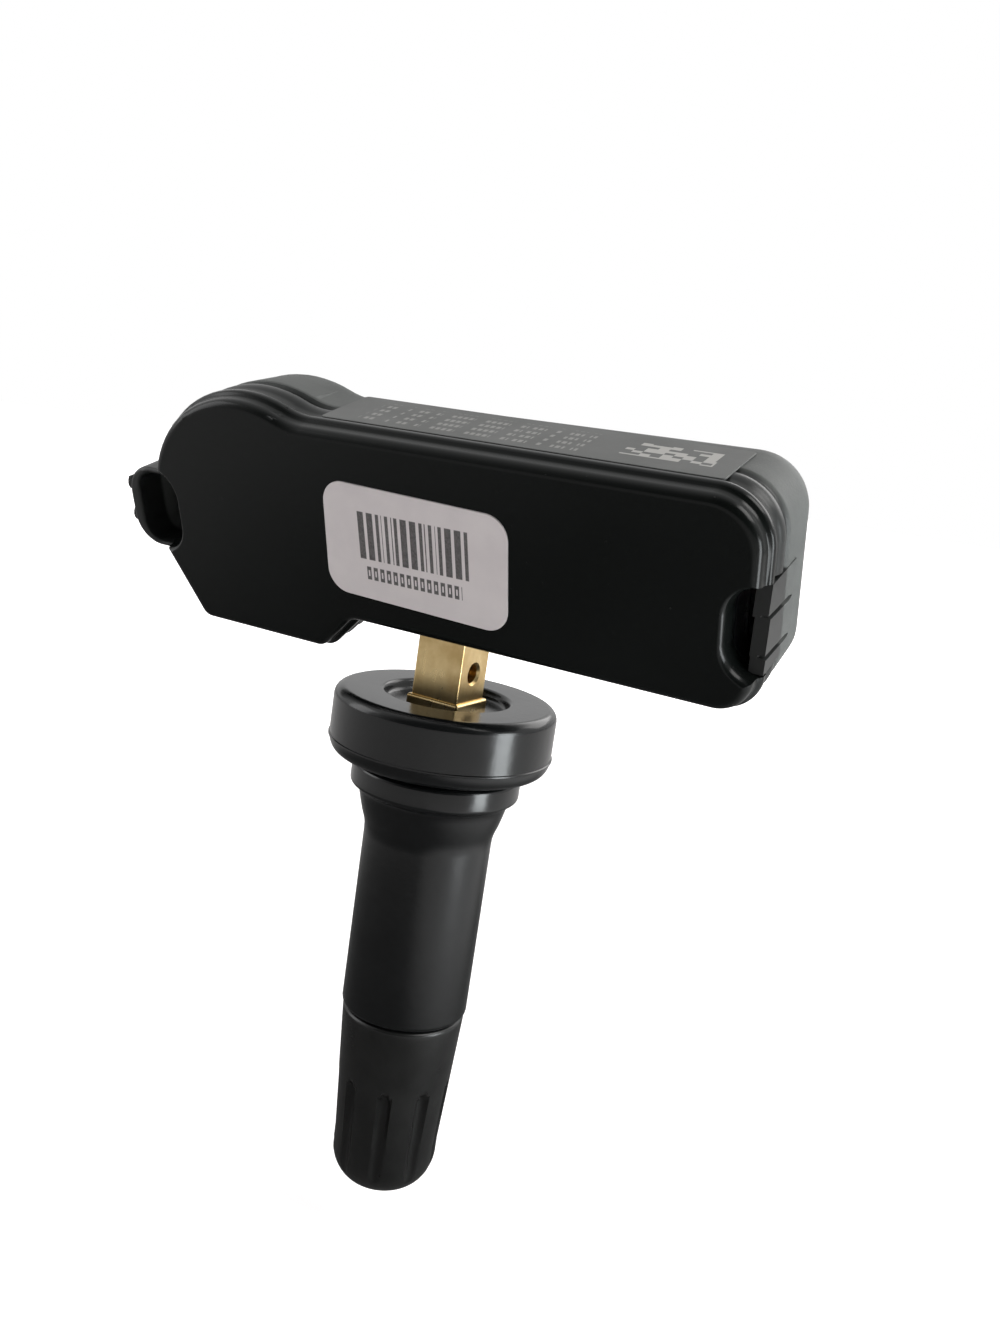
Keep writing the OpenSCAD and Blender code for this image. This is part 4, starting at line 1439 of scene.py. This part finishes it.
class InnerParts:
    """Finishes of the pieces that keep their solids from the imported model.

    A row holds a finish's name, colour, shade, roughness, smear, grain, depth, metal and coat.
    """

    plain: dict[str, tuple] = {
        "sensor_chip": ("chip_resin", (0.02, 0.02, 0.022), (0.03, 0.03, 0.033), 0.55, 0.12, 6, 0.01),
        "port_seal": ("silicone", (0.6, 0.6, 0.57), (0.52, 0.52, 0.49), 0.45, 0.1, 2, 0.02, 0, 0.2),
        "port_membrane": ("breathing_film", (0.85, 0.85, 0.83), (0.78, 0.78, 0.76), 0.7, 0.1, 9, 0.03),
        "lf_coil_core": ("ferrite", (0.05, 0.048, 0.048), (0.075, 0.07, 0.07), 0.6, 0.15, 5, 0.03),
        "core_gasket": ("red_seal", (0.45, 0.03, 0.02), (0.36, 0.025, 0.018), 0.5, 0.1, 3, 0.02),
        "core_seal": ("black_seal", (0.02, 0.02, 0.02), (0.03, 0.03, 0.03), 0.5, 0.12, 4, 0.02),
        "cap_washer": ("washer_rubber", (0.025, 0.025, 0.026), (0.04, 0.04, 0.04), 0.6, 0.12, 3, 0.03),
    }
    metal: dict[str, tuple] = {
        "antenna": ("aerial_strip", (0.8, 0.52, 0.3), (0.66, 0.4, 0.2), 0.28, 0.12, 3, 0.01, 1),
        "crystal": ("crystal_can", (0.72, 0.72, 0.7), (0.62, 0.62, 0.61), 0.25, 0.1, 3, 0.008, 1),
        "core_barrel": ("core_brass", (0.8, 0.58, 0.26), (0.68, 0.47, 0.2), 0.26, 0.14, 4, 0.01, 1),
        "core_pin": ("pin_wire", (0.66, 0.66, 0.64), (0.55, 0.55, 0.54), 0.25, 0.12, 4, 0.006, 1),
        "core_spring": ("spring_wire", (0.6, 0.6, 0.62), (0.48, 0.48, 0.5), 0.28, 0.12, 4, 0.006, 1),
    }
    in_case: dict[str, tuple] = {
        "coin_cell": ("cell_steel", (0.68, 0.68, 0.67), (0.56, 0.56, 0.56), 0.28, 0.16, 2.4, 0.01, 1),
        "battery_tab_positive": (
            "nickel_strip", (0.7, 0.66, 0.56), (0.58, 0.54, 0.45), 0.3, 0.14, 3, 0.01, 1,
        ),
        # The coil wire's shade colour is painted shade for the hollows between its turns.
        "lf_coil_winding": ("coil_wire", (0.62, 0.26, 0.1), (0.2, 0.07, 0.03), 0.3, 0.1, 3, 0.05, 0.9, 0.5),
        "circuit_board": ("board_mask", (0.012, 0.1, 0.04), (0.03, 0.2, 0.08), 0.3, 0.08, 3, 0.03),
        "chip_capacitors": ("capacitor_body", (0.3, 0.2, 0.11), (0.25, 0.16, 0.09)),
        "chip_resistors": ("resistor_body", (0.02, 0.02, 0.022), (0.03, 0.03, 0.03)),
    }
    kinds: dict[str, tuple] = {
        "coin_cell": (BrushedMetal, {}),
        "battery_tab_positive": (BrushedMetal, {"stretch": (0.1, 1, 1)}),
        "lf_coil_winding": (WoundWire, {}),
        "circuit_board": (BoardMask, {}),
        "chip_capacitors": (ChipEnds, {"bases": (8.2, 11.0), "length": 1.7}),
        "chip_resistors": (ChipEnds, {"bases": (5.4, 2.0)}),
    }

    def build(self) -> None:
        """Dresses every inner node."""
        finishes = {node: Finish(*row) for node, row in self.plain.items()}
        finishes.update({node: BrushedMetal(*row) for node, row in self.metal.items()})
        for node, (kind, more) in self.kinds.items():
            finishes[node] = kind(*self.in_case[node], place=CASE_PLACE, **more)
        finishes["battery_tab_negative"] = finishes["battery_tab_positive"]
        finishes["post_screw"] = STEEL
        for name, finish in finishes.items():
            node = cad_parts[name]
            node.data.materials.clear()
            node.data.materials.append(finish.material())
            log.info("%s: dressed", name)


@dataclass(frozen=True)
class Lamp:
    """An area lamp aimed at the object."""

    name: str
    place: tuple[float, float, float]
    size: Point
    power: float
    colour: Colour = (1.0, 1.0, 1.0)
    aim: tuple[float, float, float] = (0.0, 0.0, 0.0)

    def build(self) -> None:
        """Hangs the lamp."""
        data = bpy.data.lights.new(self.name, "AREA")
        data.shape = "RECTANGLE"
        data.size, data.size_y = self.size
        data.energy = self.power
        data.color = self.colour
        lamp = bpy.data.objects.new(self.name, data)
        bpy.context.scene.collection.objects.link(lamp)
        lamp.location = self.place
        lamp.rotation_euler = (Vector(self.aim) - lamp.location).to_track_quat("-Z", "Y").to_euler()
        lamp.visible_camera = False


@dataclass
class Studio:
    """Floor, daylight, lamps and camera."""

    floor_z: float = -0.0457
    floor_radius: float = 2.0
    lens: float = 31.85
    eye: tuple[float, float, float] = (0.04803, -0.08379, 0.0278)
    right: tuple[float, float, float] = (0.86444, 0.4814, 0.14491)
    up: tuple[float, float, float] = (-0.22, 0.10305, 0.97004)
    lamps: tuple[Lamp, ...] = (
        Lamp("key_window", (0.45, 0.05, 0.55), (0.45, 0.35), 2.8, (1.0, 0.99, 0.97)),
        Lamp("rear_window", (0.15, 0.6, 0.35), (0.6, 0.3), 1.3, (1.0, 0.98, 0.97)),
        Lamp("left_fill", (-0.55, -0.25, 0.2), (0.3, 0.45), 0.8, (0.98, 0.99, 1.0)),
        Lamp("side_strip", (0.14, 0.008, -0.008), (0.045, 0.09), 0.13, (0.93, 0.98, 1.0), (0.0, 0.0, -0.008)),
    )

    def build(self) -> None:
        """Sets everything up round the object."""
        scene = bpy.context.scene
        scene.view_settings.view_transform = "Standard"
        self.build_world(scene)
        self.build_floor()
        for lamp in self.lamps:
            lamp.build()
        self.build_camera(scene)

    def build_world(self, scene: bpy.types.Scene) -> None:
        """Daylight that is white to the eye, and dimmer from the eye's own side."""
        world = bpy.data.worlds.new("daylight")
        world.use_nodes = True
        scene.world = world
        shader = NodeTree(world.node_tree)
        direction = shader.node("TexCoord", out="Generated")
        x, y, z = direction.split()
        towards = (x * 0.42 + y * -0.88 + z * 0.2).ramp(0.1, 0.85)
        level = (1 - towards * 0.8) * z.ramp(-0.7, 0.8, 0.2, 0.6)
        seen = shader.node("LightPath", out="Is Camera Ray")
        through = shader.node("LightPath", out="Is Transmission Ray")
        mirrored = shader.node("LightPath", out="Is Glossy Ray")
        white = seen.maths("MAXIMUM", through)
        glossy_level = (1 - towards * 0.95) * z.ramp(-0.6, 0.5, 0.3, 0.9)
        lit = level * (1 - mirrored) + glossy_level * mirrored
        strength = white + lit * (1 - white)
        light = shader.node("Background", Color=(1.0, 1.0, 1.0), Strength=strength)
        shader.node("OutputWorld", out=None, Surface=light)

    def build_floor(self) -> None:
        """Pale floor that shows white and keeps the object's shadow."""
        bm = bmesh.new()
        bmesh.ops.create_circle(bm, cap_ends=True, radius=self.floor_radius, segments=96)
        bmesh.ops.translate(bm, vec=(0, 0, self.floor_z), verts=bm.verts)
        mesh = bpy.data.meshes.new("floor")
        bm.to_mesh(mesh)
        bm.free()
        floor = bpy.data.objects.new("floor", mesh)
        bpy.context.scene.collection.objects.link(floor)
        shader = Shader("pale_floor")
        path = shader.node("LightPath", out="Is Camera Ray")
        mirrored = shader.node("LightPath", out="Is Glossy Ray")
        at = shader.coords()
        x, y, _ = at.split()
        radius = (x * x + y * y).maths("SQRT")
        far = radius.ramp(60, 320)
        # Painted reflection: to glossy rays the floor is painted dark, and pale only towards +x and far from
        # the object, so the object's reflections show a lit side.
        lit_side = x.ramp(20, 70).maths("MAXIMUM", radius.ramp(70, 160) * 0.9)
        grain = shader.noise(at, 0.05, 3)
        pale = shader.colours(grain, (0.8, 0.79, 0.79), (0.82, 0.81, 0.81))
        shader.set(
            Base_Color=shader.colours(mirrored * (0.86 - lit_side * 0.75), pale, (0.0, 0.0, 0.0)),
            Roughness=0.9,
            Emission_Color=shader.colours(path * (far * 0.6 + 0.4), (0.0, 0.0, 0.0), (1.0, 0.985, 0.985)),
            Emission_Strength=1.2,
        )
        mesh.materials.append(shader.data)

    def build_camera(self, scene: bpy.types.Scene) -> None:
        """Camera at the photograph's angle."""
        data = bpy.data.cameras.new("camera")
        data.sensor_fit = "VERTICAL"
        data.sensor_height = 36
        data.sensor_width = 36
        data.lens = self.lens
        data.clip_start = 0.005
        data.clip_end = 20
        camera = bpy.data.objects.new("camera", data)
        scene.collection.objects.link(camera)
        right = Vector(self.right).normalized()
        up = Vector(self.up)
        up = (up - right * up.dot(right)).normalized()
        back = right.cross(up)
        turn = Matrix((right, up, back)).transposed().to_4x4()
        camera.matrix_world = Matrix.Translation(self.eye) @ turn
        scene.camera = camera


def main() -> None:
    """Builds the studio and every sub-assembly in order."""
    logging.basicConfig(level=logging.INFO, format="%(message)s")
    Studio().build()
    form = CaseForm()
    Cover(form).build()
    Housing(form).build()
    Labels(form).build()
    ValveBody().build()
    Stem().build()
    DustCap().build()
    InnerParts().build()


if __name__ == "__main__":
    main()
